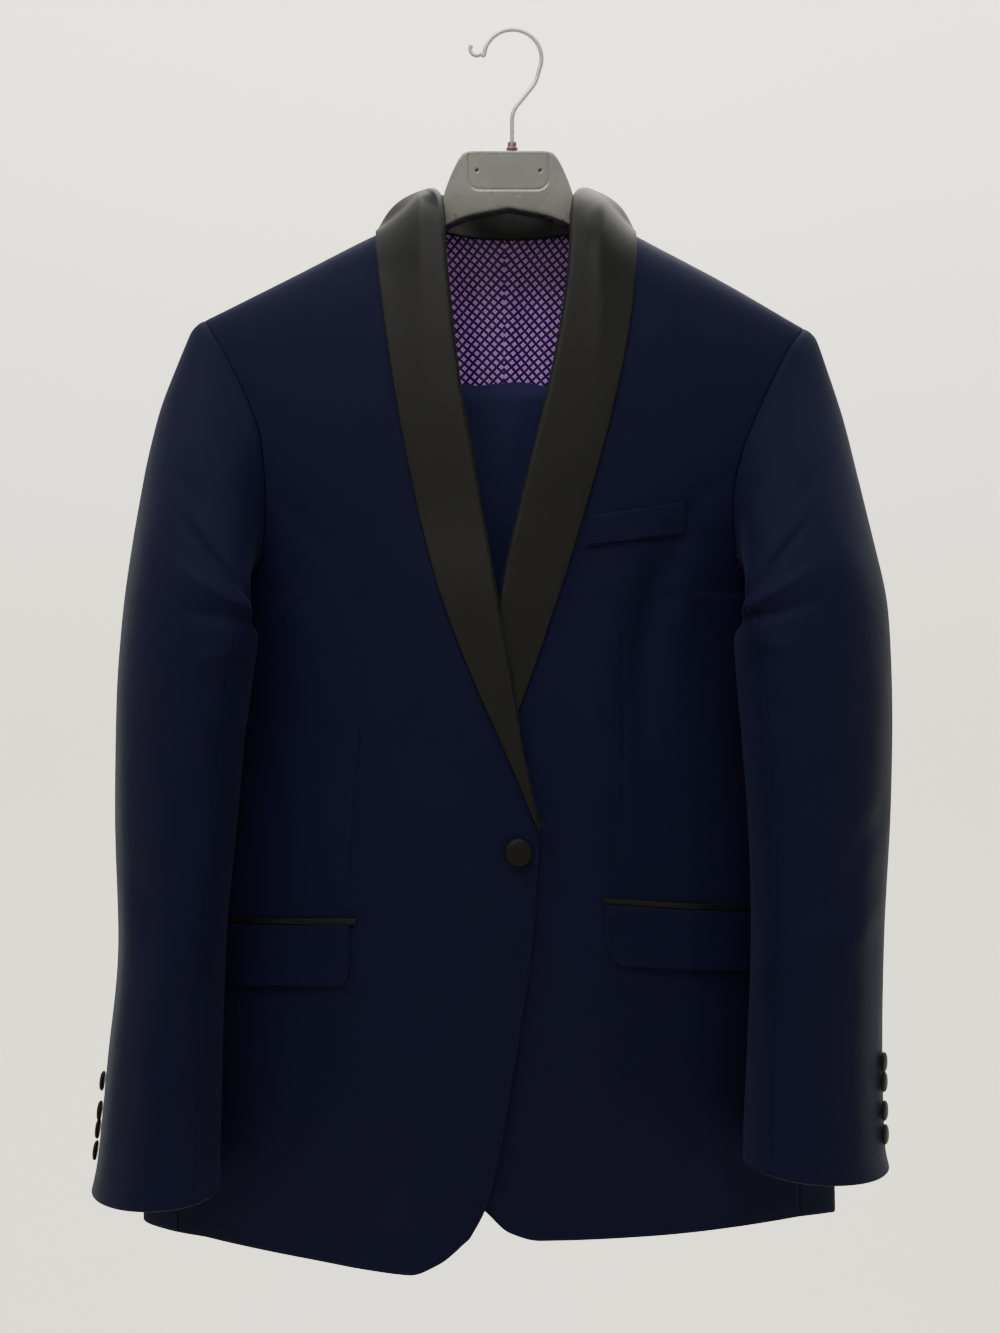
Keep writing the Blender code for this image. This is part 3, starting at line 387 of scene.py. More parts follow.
class Nodes:
    """A short way to add nodes and links to one material."""

    def __init__(self, name):
        self.material = bpy.data.materials.new(name)
        self.material.use_nodes = True
        self.tree = self.material.node_tree
        self.shader = self.tree.nodes["Principled BSDF"]

    def add(self, kind, *inputs, **settings):
        node = self.tree.nodes.new(kind)
        for key, value in settings.items():
            setattr(node, key, value)
        for number, value in enumerate(inputs):
            if value is None:
                continue
            if isinstance(value, bpy.types.NodeSocket):
                self.tree.links.new(value, node.inputs[number])
            else:
                node.inputs[number].default_value = value
        return node

    def math(self, operation, *inputs):
        return self.add("ShaderNodeMath", *inputs, operation=operation).outputs[0]

    def link(self, output, name):
        self.tree.links.new(output, self.shader.inputs[name])

    def set(self, **values):
        for name, value in values.items():
            self.shader.inputs[name.replace("_", " ").title().replace("Ior", "IOR")].default_value = value

    def cloth_uv(self):
        uv = self.add("ShaderNodeUVMap", uv_map="cloth").outputs[0]
        parts = self.add("ShaderNodeSeparateXYZ", uv)
        return uv, parts.outputs[0], parts.outputs[1]

    def place(self):
        return self.add("ShaderNodeTexCoord").outputs["Object"]

    def noise(self, vector, scale, detail=3.0, roughness=0.5):
        node = self.add("ShaderNodeTexNoise", vector)
        node.inputs["Scale"].default_value = scale
        node.inputs["Detail"].default_value = detail
        node.inputs["Roughness"].default_value = roughness
        return node.outputs[0]

    def mix(self, share, first, second):
        node = self.add("ShaderNodeMix", data_type="RGBA")
        for socket, value in ((node.inputs[0], share), (node.inputs[6], first), (node.inputs[7], second)):
            if isinstance(value, bpy.types.NodeSocket):
                self.tree.links.new(value, socket)
            else:
                socket.default_value = value
        return node.outputs[2]

    def bump(self, height, distance, strength=1.0, below=None):
        node = self.add("ShaderNodeBump")
        node.inputs["Strength"].default_value = strength
        node.inputs["Distance"].default_value = distance
        self.tree.links.new(height, node.inputs["Height"])
        if below is not None:
            self.tree.links.new(below, node.inputs["Normal"])
        return node.outputs[0]


def wave(nodes, value, pitch):
    """A smooth wave from -1 to 1 that repeats every pitch metres."""
    return nodes.math("SINE", nodes.math("MULTIPLY", value, 2 * PI / pitch))


# %% Wool, satin, lining and button cloth
NAVY_LIT, NAVY_DEEP = (0.0022, 0.0025, 0.0150, 1), (0.0012, 0.0013, 0.0100, 1)
SATIN_LIT, SATIN_DEEP = (0.0030, 0.0031, 0.0029, 1), (0.0019, 0.0020, 0.0019, 1)


def make_wool(name, lit=NAVY_LIT, deep=NAVY_DEEP):
    nodes = Nodes(name)
    uv, u, v = nodes.cloth_uv()
    cloud = nodes.noise(nodes.place(), 9.0, 4.0)
    slub = nodes.noise(uv, 420.0, 2.0)
    shade = nodes.math("ADD", nodes.math("MULTIPLY", cloud, 0.65), nodes.math("MULTIPLY", slub, 0.35))
    nodes.link(nodes.mix(shade, deep, lit), "Base Color")
    twill = wave(nodes, nodes.math("ADD", u, v), 0.00075)
    cross = wave(nodes, nodes.math("SUBTRACT", nodes.math("MULTIPLY", u, 2.2), v), 0.0011)
    weave = nodes.math("ADD", twill, nodes.math("MULTIPLY", cross, 0.35))
    handle = nodes.noise(nodes.place(), 34.0, 3.0, 0.45)
    soft = nodes.bump(handle, 0.0011, 0.55)
    nodes.link(nodes.bump(weave, 0.00006, 0.6, soft), "Normal")
    rough = nodes.math("ADD", nodes.math("MULTIPLY", slub, 0.12), 0.60)
    nodes.link(rough, "Roughness")
    nodes.set(sheen_weight=0.03, sheen_roughness=0.45, sheen_tint=(0.45, 0.55, 0.95, 1))
    nodes.shader.inputs["Specular IOR Level"].default_value = 0.05
    return nodes.material


def make_satin(name, lit=SATIN_LIT, deep=SATIN_DEEP):
    nodes = Nodes(name)
    uv, u, v = nodes.cloth_uv()
    cloud = nodes.noise(nodes.place(), 14.0, 3.0)
    rib = wave(nodes, v, 0.00085)
    thread = nodes.noise(uv, 900.0, 1.0)
    nodes.link(nodes.mix(cloud, deep, lit), "Base Color")
    height = nodes.math("ADD", rib, nodes.math("MULTIPLY", thread, 0.8))
    handle = nodes.bump(nodes.noise(nodes.place(), 26.0, 2.0), 0.0008, 0.5)
    nodes.link(nodes.bump(height, 0.00006, 0.55, handle), "Normal")
    nodes.link(nodes.math("ADD", nodes.math("MULTIPLY", thread, 0.14), 0.46), "Roughness")
    nodes.set(sheen_weight=0.015, sheen_roughness=0.5, sheen_tint=(0.80, 0.85, 0.78, 1))
    nodes.shader.inputs["Specular IOR Level"].default_value = 0.10
    return nodes.material


LATTICE_WIDE, LATTICE_HIGH = 0.0075, 0.0072


def make_lining(name):
    """A diamond lattice of thin dark lines with a four-lobed light figure in each diamond."""
    nodes = Nodes(name)
    uv, u, v = nodes.cloth_uv()
    wide, high = nodes.math("DIVIDE", u, LATTICE_WIDE), nodes.math("DIVIDE", v, LATTICE_HIGH)
    cells = []
    for operation in ("ADD", "SUBTRACT"):
        share = nodes.math("FRACT", nodes.math(operation, wide, high))
        cells.append(nodes.math("SUBTRACT", share, 0.5))
    p, q = cells
    far_p, far_q = nodes.math("ABSOLUTE", p), nodes.math("ABSOLUTE", q)
    line = nodes.math("GREATER_THAN", nodes.math("MAXIMUM", far_p, far_q), 0.405)
    reach = nodes.math("SQRT", nodes.math("ADD", nodes.math("MULTIPLY", p, p), nodes.math("MULTIPLY", q, q)))
    turn = nodes.math("ARCTAN2", q, p)
    lobes = nodes.math("COSINE", nodes.math("MULTIPLY", turn, 4.0))
    petal = nodes.math("ADD", nodes.math("MULTIPLY", lobes, -0.07), 0.30)
    figure = nodes.math("LESS_THAN", reach, petal)
    cross = nodes.math("LESS_THAN", nodes.math("MINIMUM", far_p, far_q), 0.022)
    eye = nodes.math("LESS_THAN", reach, 0.095)
    ground = nodes.mix(figure, (0.040, 0.011, 0.090, 1), (0.400, 0.185, 0.620, 1))
    ground = nodes.mix(nodes.math("MULTIPLY", cross, 0.55), ground, (0.060, 0.020, 0.130, 1))
    ground = nodes.mix(nodes.math("MULTIPLY", eye, 0.85), ground, (0.045, 0.014, 0.095, 1))
    ground = nodes.mix(line, ground, (0.006, 0.002, 0.016, 1))
    nodes.link(ground, "Base Color")
    thread = nodes.noise(uv, 1100.0, 1.0)
    handle = nodes.bump(nodes.noise(nodes.place(), 40.0, 2.0), 0.0009, 0.6)
    nodes.link(nodes.bump(thread, 0.00005, 0.5, handle), "Normal")
    nodes.link(nodes.math("ADD", nodes.math("MULTIPLY", thread, 0.10), 0.36), "Roughness")
    nodes.shader.inputs["Specular IOR Level"].default_value = 0.12
    return nodes.material


WOOL = make_wool("midnight wool")
TROUSER_WOOL = make_wool("trouser wool", (0.0062, 0.0072, 0.0300, 1), (0.0045, 0.0052, 0.0230, 1))
SATIN = make_satin("ribbed satin")
BUTTON_CLOTH = make_satin("button satin", (0.0014, 0.0014, 0.0014, 1), (0.0007, 0.0007, 0.0007, 1))
LINING = make_lining("lattice lining")
print("cloth finishes:", [m.name for m in (WOOL, TROUSER_WOOL, SATIN, LINING)])

# %% [markdown]
# ## The fronts
# Each front runs from its free edge to the side seam, and from the hem over the chest to the shoulder.
# Below the button the edge cuts away to a rounded corner. The grid's lines follow the edge, so that the
# corner stays smooth, and the wearer's right front is lifted where it lies over the left.

# %% Edges and hems of the fronts
FRONT_EDGE = {
    RIGHT: Table("height across", [
        (-0.893, -0.030), (-0.871, -0.019), (-0.826, -0.008), (-0.775, 0.000), (-0.732, 0.007),
        (-0.688, 0.013), (-0.645, 0.017), (-0.594, 0.019), (-0.545, 0.009), (-0.489, 0.000),
        (-0.418, -0.012), (-0.347, -0.024), (-0.275, -0.037), (-0.210, -0.046), (-0.160, -0.053),
        (-0.138, -0.0625)]),
    LEFT: Table("height across", [
        (-0.874, -0.020), (-0.845, -0.031), (-0.800, -0.036), (-0.700, -0.036), (-0.645, -0.032),
        (-0.594, -0.027), (-0.540, -0.022), (-0.489, -0.018), (-0.425, -0.008), (-0.345, 0.010),
        (-0.275, 0.027), (-0.210, 0.040), (-0.163, 0.047), (-0.138, 0.0625)])}
FRONT_HEM = {
    RIGHT: Table("across height", [
        (-0.230, -0.9080), (-0.154, -0.9150), (-0.110, -0.9195), (-0.074, -0.9210),
        (-0.052, -0.9120), (-0.030, -0.8930)]),
    LEFT: Table("across height", [
        (-0.020, -0.8740), (-0.001, -0.8910), (0.021, -0.8970), (0.108, -0.8975), (0.210, -0.8960)])}
ARMHOLE = {
    RIGHT: Table("height front back", [
        (-0.425, -0.1980, -0.2080), (-0.402, -0.1840, -0.1960), (-0.359, -0.1800, -0.1880),
        (-0.316, -0.1830, -0.1880), (-0.282, -0.1950, -0.1970), (-0.241, -0.2170, -0.2170),
        (-0.219, -0.2310, -0.2310)]),
    LEFT: Table("height front back", [
        (-0.425, 0.1800, 0.1900), (-0.402, 0.1655, 0.1790), (-0.359, 0.1620, 0.1720),
        (-0.326, 0.1680, 0.1740), (-0.300, 0.1780, 0.1800), (-0.269, 0.1930, 0.1930),
        (-0.240, 0.2090, 0.2090), (-0.225, 0.2210, 0.2210)])}
BACK_HEM, HEM_HEIGHT = -0.903, -0.900
SEAM = 0.0004             # half a seam's gap, as an angle
LOWER_ROWS, UPPER_ROWS, FRONT_COLUMNS = 100, 76, 150


def lap(x, z, side):
    if side == LEFT:
        return 0.0 * x
    return LAP_LIFT * smooth(x, -0.135, -0.055) * smooth(-z, 0.365, 0.430)


DARTS = {
    RIGHT: Table("height across", [
        (-0.6380, -0.1195), (-0.6120, -0.1168), (-0.5130, -0.1092), (-0.4630, -0.1043)]),
    LEFT: Table("height across", [(-0.6330, 0.0820), (-0.5340, 0.0807), (-0.4510, 0.0800)])}
DART_WIDTH, DART_DEPTH = 0.0017, 0.0010
EDGE_SEAM_IN, EDGE_SEAM_WIDTH, EDGE_SEAM_DEPTH = 0.0055, 0.0016, 0.0005


def seam_lift(side, x, z):
    """The waist dart and the pressed seam that follows the front's edge."""
    dart = DARTS[side]
    lowest, highest = dart.rows[0][0], dart.rows[-1][0]
    ends = smooth(z, lowest - 0.004, lowest + 0.012) * (1 - smooth(z, highest - 0.03, highest + 0.004))
    lift = -DART_DEPTH * ends * np.exp(-((x - dart.at("across", z)) / DART_WIDTH) ** 2)
    inward = np.abs(x - FRONT_EDGE[side].at("across", z)) - EDGE_SEAM_IN
    return lift - EDGE_SEAM_DEPTH * smooth(-z, 0.60, 0.63) * np.exp(-(inward / EDGE_SEAM_WIDTH) ** 2)


def front_lift(side, x, z):
    """Lap, creases and seams together: how far a front's outer face stands off the plain surface."""
    return lap(x, z, side) + crease_lift(x, z, FRONT_CREASES[side]) + seam_lift(side, x, z)


def armhole_across(side, column, z):
    table = ARMHOLE[side]
    lowest = table.rows[0][0]
    seam = BODY.at("centre", ARMPIT) + side * BODY.at("half", ARMPIT) * math.sin(SIDE_SEAM)
    across = table.at(column, z)
    return np.where(z < lowest, lerp(seam, across, smooth(z, ARMPIT, lowest)), across)


def armhole_edge(side, column, share):
    across = ARMHOLE[side].rows[-1][1]
    for _ in range(6):
        across = armhole_across(side, column, upper_height(across, share))
    return across


def eased_columns(u, start, end, share):
    """Columns evenly spaced by turn at the armpit become evenly spaced across at the shoulder."""
    turned = (np.sin(lerp(start, end, u)) - math.sin(start)) / (math.sin(end) - math.sin(start))
    return lerp(turned, u, smooth(share, 0.0, 0.8))


def front_place(side, u, level):
    if level <= 1:
        corner = FRONT_EDGE[side].rows[0]
        seam = side * (SIDE_SEAM - SEAM)
        start = math.asin((corner[1] - BODY.at("centre", corner[0])) / BODY.at("half", corner[0]))
        hem_x = BODY.at("centre", HEM_HEIGHT) + BODY.at("half", HEM_HEIGHT) * np.sin(lerp(start, seam, u))
        z = lerp(FRONT_HEM[side].at("height", hem_x), ARMPIT, level)
        centre, half = BODY.at("centre", z), BODY.at("half", z)
        edge = np.arcsin((FRONT_EDGE[side].at("across", z) - centre) / half)
        return centre + half * np.sin(lerp(edge, seam, u)), z
    share = (level - 1) * 0.9994
    outer_x = armhole_edge(side, "front", share)
    inner_z = upper_height(FRONT_EDGE[side].rows[-1][1], share)
    centre, half = BODY.at("centre", ARMPIT), BODY.at("half", ARMPIT)
    edge = math.asin((FRONT_EDGE[side].at("across", ARMPIT) - centre) / half)
    u = eased_columns(u, edge, side * (SIDE_SEAM - SEAM), share)
    x = lerp(FRONT_EDGE[side].at("across", inner_z), outer_x, u)
    return x, upper_height(x, share)


def rows_of(lower, upper):
    """Levels from the hem (0) to the armpit (1) and the shoulder (2), close together at the hem."""
    low = np.linspace(0, 1, lower + 1) ** 1.25
    return np.concatenate([[0.0, 0.0010, 0.0026], low[low > 0.004], 1 + np.linspace(0, 1, upper + 1)[1:]])


def hem_roll(levels):
    near = np.clip(1 - levels / 0.005, 0, 1)
    return -0.0010 * (1 - np.sqrt(1 - near ** 2))


def make_front(word, side):
    u, levels = spaced(FRONT_COLUMNS), rows_of(LOWER_ROWS, UPPER_ROWS)
    places = [front_place(side, u, level) for level in levels]
    x, z = np.array([p[0] for p in places]), np.array([p[1] for p in places])
    lift = front_lift(side, x, z) + rolled(u)[None, :] + hem_roll(levels)[:, None]
    points = on_body(x, z, False, lift)
    normals = on_body(x, z, False, lift + 1.0) - points
    return cloth_shell(f"Front_{word}", points, normals, CLOTH, WOOL)


fronts = {}
for word, side in (("right", RIGHT), ("left", LEFT)):
    fronts[side] = declare(make_front(word, side), [f"front_{word}"])

# %% [markdown]
# ## Side bodies, backs and back lining
# The side body is a straight panel under the arm. The two backs meet in a centre seam, and the lining
# hangs behind them a little shorter than the cloth, with its own loose folds, which show in the neck.

# %% Side bodies and backs
ARMHOLE_DIP = 0.008
LINING_CREASES = [
    (-0.034, -0.150, -0.033, -0.330, 0.0050, 0.0030), (0.012, -0.165, 0.014, -0.340, 0.0045, 0.0034),
    (-0.016, -0.190, -0.019, -0.330, 0.0060, -0.0016), (0.029, -0.160, 0.030, -0.330, 0.0060, -0.0018),
    (-0.080, -0.300, -0.086, -0.800, 0.010, 0.0030), (0.080, -0.290, 0.078, -0.820, 0.011, 0.0030),
    (-0.045, -0.480, -0.040, -0.850, 0.012, -0.0020), (0.052, -0.500, 0.056, -0.860, 0.010, -0.0022)]


def make_side(word, side):
    u, v = spaced(26), spaced(100)[:, None]
    angle = lerp(SIDE_SEAM + SEAM, BACK_SEAM - SEAM, u)
    hem_x = BODY.at("centre", HEM_HEIGHT) + side * BODY.at("half", HEM_HEIGHT) * math.sin(SIDE_SEAM)
    hem = lerp(FRONT_HEM[side].at("height", hem_x), BACK_HEM, u)
    z = lerp(hem, ARMPIT - ARMHOLE_DIP * np.sin(PI * u), v)
    wave_in = -0.0022 * np.exp(-((z + 0.62) / 0.11) ** 2) * np.sin(PI * u) ** 2
    lift = wave_in + rolled(u)[None, :] + hem_roll(v)
    angle = side * angle + 0 * z
    points = around(angle, z, lift)
    normals = around(angle, z, lift + 1.0) - points
    return cloth_shell(f"Side_{word}", points, normals, CLOTH, WOOL)


def back_grid(side, u, levels, lift, hem, creases, inset=0.0):
    xs, zs, backs = [], [], []
    for level in levels:
        if level <= 1:
            z = lerp(hem, ARMPIT, level) + 0 * u
            angle = side * lerp(PI - SEAM / 2, BACK_SEAM + SEAM + inset, u)
            x = BODY.at("centre", z) + BODY.at("half", z) * np.sin(angle)
        else:
            share = (level - 1) * 0.9994
            outer = armhole_edge(side, "back", share)
            column = eased_columns(u, 0.0, PI - BACK_SEAM - SEAM - inset, share)
            x = lerp(BODY.at("centre", upper_height(0, share)), outer, column)
            z = upper_height(x, share)
        xs.append(x)
        zs.append(z)
    x, z = np.array(xs), np.array(zs)
    lift = lift + crease_lift(x, z, creases)
    points = on_body(x, z, True, lift)
    return points, on_body(x, z, True, lift + 1.0) - points


def make_back(word, side):
    u, levels = spaced(56), rows_of(84, 62)
    lift = rolled(u)[None, :] + hem_roll(levels)[:, None]
    points, normals = back_grid(side, u, levels, lift, BACK_HEM, BACK_CREASES)
    return cloth_shell(f"Back_{word}", points, normals, CLOTH, WOOL)


def make_back_lining(word, side):
    u, levels = spaced(64), rows_of(50, 60)
    levels = levels[levels < 1.985]
    lift = -(CLOTH + 0.0022) + 0 * levels[:, None]
    points, normals = back_grid(side, u, levels, lift, BACK_HEM + 0.014, LINING_CREASES, 0.004)
    return cloth_shell(f"Back_lining_{word}", points, normals, LINING_CLOTH, LINING)


for word, side in (("right", RIGHT), ("left", LEFT)):
    declare(make_side(word, side), [f"side_{word}"])
    declare(make_back(word, side), [f"back_{word}"])
    declare(make_back_lining(word, side), [f"back_lining_{word}"])

# %% [markdown]
# ## Sleeves
# A sleeve starts as the armhole's loop, tips over into full rings and hangs forward. It is drawn as one
# tube first, so that its creases cross the seams, and then cut into the top and the under sleeve.

# %% Sizes of the sleeves
HEAD = {
    RIGHT: Table("ring share out_x out_z out_y in_x in_z in_y", [
        (1, 0.10, -0.2410, -0.2252, 0.000, -0.2400, -0.4330, 0.000),
        (2, 0.30, -0.2510, -0.2530, -0.004, -0.2230, -0.4350, -0.022),
        (3, 0.54, -0.2630, -0.2880, -0.008, -0.2030, -0.4400, -0.044),
        (4, 0.78, -0.2720, -0.3300, -0.013, -0.1880, -0.4480, -0.056)]),
    LEFT: Table("ring share out_x out_z out_y in_x in_z in_y", [
        (1, 0.10, 0.2305, -0.2312, 0.000, 0.2230, -0.4330, 0.000),
        (2, 0.30, 0.2390, -0.2600, -0.004, 0.2040, -0.4350, -0.024),
        (3, 0.54, 0.2490, -0.2950, -0.008, 0.1830, -0.4400, -0.047),
        (4, 0.78, 0.2580, -0.3370, -0.013, 0.1670, -0.4480, -0.060)])}
HEAD_RINGS, HEAD_FULLNESS, UNDERARM_CLEAR = 5, 0.006, (0.030, 0.016)
LOOP_TURN = math.radians(160)
SLEEVE = {
    RIGHT: Table("ring out_x out_z in_x in_z out_y in_y front back", [
        (5, -0.2790, -0.3800, -0.1815, -0.4560, -0.019, -0.060, -0.097, -0.011),
        (6, -0.2860, -0.4400, -0.1860, -0.4860, -0.025, -0.058, -0.099, -0.015),
        (7, -0.2900, -0.5100, -0.1925, -0.5350, -0.028, -0.056, -0.100, -0.014),
        (8, -0.2905, -0.5900, -0.1990, -0.6000, -0.030, -0.055, -0.099, -0.013),
        (9, -0.2875, -0.6800, -0.2062, -0.6800, -0.030, -0.055, -0.098, -0.013),
        (10, -0.2955, -0.7620, -0.2088, -0.7620, -0.030, -0.055, -0.097, -0.012),
        (11, -0.3035, -0.8420, -0.2104, -0.8380, -0.030, -0.055, -0.096, -0.011),
        (12, -0.3080, -0.8630, -0.2104, -0.8580, -0.030, -0.055, -0.096, -0.011)]),
    LEFT: Table("ring out_x out_z in_x in_z out_y in_y front back", [
        (5, 0.2680, -0.3850, 0.1590, -0.4560, -0.019, -0.064, -0.099, -0.015),
        (6, 0.2780, -0.4400, 0.1610, -0.4860, -0.025, -0.063, -0.102, -0.019),
        (7, 0.2800, -0.5100, 0.1655, -0.5350, -0.028, -0.061, -0.103, -0.019),
        (8, 0.2780, -0.5900, 0.1705, -0.6000, -0.030, -0.060, -0.103, -0.019),
        (9, 0.2735, -0.6700, 0.1725, -0.6700, -0.030, -0.059, -0.102, -0.018),
        (10, 0.2720, -0.7500, 0.1700, -0.7500, -0.030, -0.058, -0.101, -0.017),
        (11, 0.2740, -0.8280, 0.1670, -0.8180, -0.030, -0.057, -0.100, -0.015),
        (12, 0.2775, -0.8460, 0.1670, -0.8360, -0.030, -0.057, -0.100, -0.015)])}
SLEEVE_SEAMS = Table("ring front back", [(0, 148, -60), (6, 140, -45), (12, 138, -24)])
CUFF_RING, TUBE_ROWS, TUBE_COLUMNS = 12, 150, 360

# creases in a sleeve's own places: turn in degrees and ring, and a width in rings
TURNS_PER_RING = 75.0     # degrees of turn that are as long as one ring
SLEEVE_CREASES = {
    RIGHT: [
        (150, 3.3, 70, 4.0, 0.16, -0.0030), (152, 3.9, 85, 4.9, 0.15, 0.0024),
        (148, 4.5, 95, 5.5, 0.13, -0.0026), (150, 5.0, 110, 6.2, 0.16, 0.0022),
        (152, 5.6, 120, 6.6, 0.13, -0.0018), (95, 2.3, 60, 3.6, 0.20, -0.0016),
        (120, 7.8, 75, 8.6, 0.20, -0.0020), (135, 8.5, 90, 9.3, 0.18, 0.0018),
        (40, 8.2, 85, 9.0, 0.17, -0.0014), (52, 0.9, 44, 6.8, 0.24, 0.0016),
        (46, 6.5, 38, 11.8, 0.20, 0.0018), (100, 9.4, 92, 11.6, 0.22, -0.0014),
        (190, 6.8, 240, 7.9, 0.22, -0.0028), (250, 4.6, 215, 6.0, 0.20, -0.0026),
        (285, 5.0, 240, 7.0, 0.22, 0.0022), (300, 7.5, 240, 8.8, 0.20, -0.0024),
        (230, 9.0, 290, 9.8, 0.18, 0.0018)],
    LEFT: [
        (152, 3.1, 80, 3.7, 0.15, -0.0028), (150, 3.7, 90, 4.7, 0.16, 0.0026),
        (150, 4.4, 100, 5.3, 0.13, -0.0028), (148, 5.0, 105, 6.0, 0.14, 0.0020),
        (152, 5.5, 128, 6.8, 0.12, -0.0018), (100, 2.0, 66, 3.3, 0.19, -0.0015),
        (30, 7.9, 80, 8.4, 0.15, -0.0024), (28, 8.6, 88, 9.3, 0.17, 0.0018),
        (130, 8.0, 96, 8.9, 0.18, -0.0018), (60, 0.9, 52, 6.6, 0.24, 0.0016),
        (52, 6.6, 60, 11.8, 0.20, 0.0020), (112, 9.6, 104, 11.7, 0.22, -0.0014),
        (150, 9.35, 128, 9.5, 0.07, -0.0014), (195, 6.6, 238, 7.7, 0.22, -0.0026),
        (255, 4.4, 218, 5.8, 0.20, -0.0026), (290, 5.2, 236, 6.9, 0.22, 0.0024),
        (296, 7.3, 245, 8.5, 0.20, -0.0022), (226, 9.2, 286, 9.9, 0.18, 0.0018)]}
print("sleeve creases:", [len(rows) for rows in SLEEVE_CREASES.values()])

# %% The sleeve as one tube, then its two panels


def armhole_point(side, turn):
    table = ARMHOLE[side]
    top, bottom = table.rows[-1][0], table.rows[0][0]
    back = np.sin(turn) < 0
    half_turn = np.abs(np.arctan2(np.sin(turn), np.cos(turn)))
    z = lerp(top, bottom, np.minimum((1 - np.cos(half_turn)) / (1 - math.cos(LOOP_TURN)), 1.0))
    loop = on_body(np.where(back, table.at("back", z), table.at("front", z)) + side * 0.0003, z, back)
    share = np.clip((half_turn - LOOP_TURN) / (PI - LOOP_TURN), 0, 1)
    angle = side * lerp(np.where(back, BACK_SEAM, SIDE_SEAM), PI / 2, share)
    under = around(angle, lerp(bottom, ARMPIT - ARMHOLE_DIP, np.sin(share * PI / 2)))
    return np.where((half_turn <= LOOP_TURN)[..., None], loop, under)


def sleeve_ring(side, ring, turn):
    size = {name: SLEEVE[side].at(name, ring) for name in SLEEVE[side].names[1:]}
    sine, cosine = np.sin(turn), np.cos(turn)
    x = (size["out_x"] + size["in_x"]) / 2 + (size["out_x"] - size["in_x"]) / 2 * cosine
    z = (size["out_z"] + size["in_z"]) / 2 + (size["out_z"] - size["in_z"]) / 2 * cosine
    mean = (size["out_y"] + size["in_y"]) / 2
    reach = np.where(sine > 0, size["front"], size["back"])
    y = mean + (size["out_y"] - size["in_y"]) / 2 * cosine + (reach - mean) * np.abs(sine)
    return np.stack([x, y, z], axis=-1)


def head_row(side, ring, turn):
    """One ring of the sleeve head, between the armhole's loop and the first full ring."""
    table = HEAD[side]
    first, last = table.rows[0][0], table.rows[-1][0]
    share = table.at("share", ring) * min(ring / first, 1.0)
    if ring > last:
        share = lerp(share, 1.0, ring - last)
    point = lerp(armhole_point(side, turn), sleeve_ring(side, HEAD_RINGS, turn), share)
    for edge, at in (("out", 0.0), ("in", PI)):
        at = np.array(at)
        loop, full = armhole_point(side, at), sleeve_ring(side, HEAD_RINGS, at)
        edge_point = np.array([table.at(f"{edge}_{axis}", ring) for axis in "xyz"])
        if ring > last:
            edge_point = lerp(edge_point, full, (ring - last) / (HEAD_RINGS - last))
        if ring < first:
            edge_point = lerp(loop, edge_point, ring / first)
        near = (1 + np.cos(turn - at)) / 2
        point = point + (edge_point - lerp(loop, full, share)) * near[..., None] ** 3
    swell = math.sin(PI * share)
    point[..., 1] -= HEAD_FULLNESS * swell * np.maximum(np.sin(turn), 0.0)
    under = np.clip(-3 * np.sin(turn), 0, 1) * ((1 - np.cos(turn)) / 2) ** 3 * swell
    return point + under[..., None] * np.array([side * UNDERARM_CLEAR[0], 0, UNDERARM_CLEAR[1]])


def periodic_smooth(points, passes):
    for _ in range(passes):
        points = (np.roll(points, 1, axis=1) + 2 * points + np.roll(points, -1, axis=1)) / 4
    return points


def sleeve_tube(side):
    rings = np.concatenate([[0.0, 0.02, 0.06], np.linspace(0, CUFF_RING, TUBE_ROWS + 1)[2:],
                            [CUFF_RING - 0.03, CUFF_RING - 0.01]])
    rings = np.unique(rings)
    turn = np.radians(np.arange(TUBE_COLUMNS) * 360 / TUBE_COLUMNS)
    tube = np.array([head_row(side, ring, turn) if ring < HEAD_RINGS
                     else sleeve_ring(side, ring, turn) for ring in rings])
    head = rings < HEAD_RINGS
    eased = periodic_smooth(tube, 60)
    keep = smooth(np.abs(np.degrees(turn) - 180), 24, 60)[None, :, None]
    tube[head] = lerp(eased, tube, keep)[head]
    for _ in range(10):
        tube[1:-1] = (tube[:-2] + 2 * tube[1:-1] + tube[2:]) / 4
    along = np.gradient(tube, axis=0)
    across = (np.roll(tube, -1, axis=1) - np.roll(tube, 1, axis=1)) / 2
    normals = unit(np.cross(across, along)) * side
    degrees = np.degrees(turn)
    lift = np.zeros(tube.shape[:2])
    for shift in (-360, 0, 360):
        lift += crease_lift((degrees[None, :] + shift) / TURNS_PER_RING, rings[:, None],
                            [(a / TURNS_PER_RING, b, c / TURNS_PER_RING, d, w, h)
                             for a, b, c, d, w, h in SLEEVE_CREASES[side]])
    hold = smooth(rings, 0.0, 0.5)[:, None]
    swell = 0.0006 * np.exp(-((rings[:, None] - 0.35) / 0.3) ** 2) * smooth(np.cos(turn), -0.2, 0.6)[None, :]
    cuff = np.clip(1 - (CUFF_RING - rings) / 0.035, 0, 1)[:, None]
    lift = lift * hold + swell - 0.0010 * (1 - np.sqrt(1 - cuff ** 2))
    tube = tube + normals * lift[..., None]
    along = np.gradient(tube, axis=0)
    across = (np.roll(tube, -1, axis=1) - np.roll(tube, 1, axis=1)) / 2
    return rings, tube, unit(np.cross(across, along)) * side


def read_tube(grid, row, degrees):
    """Points or normals of one row of the tube at any turns."""
    place = np.mod(degrees, 360) * TUBE_COLUMNS / 360
    low = np.floor(place).astype(int)
    share = (place - low)[:, None]
    return lerp(grid[row, low % TUBE_COLUMNS], grid[row, (low + 1) % TUBE_COLUMNS], share)


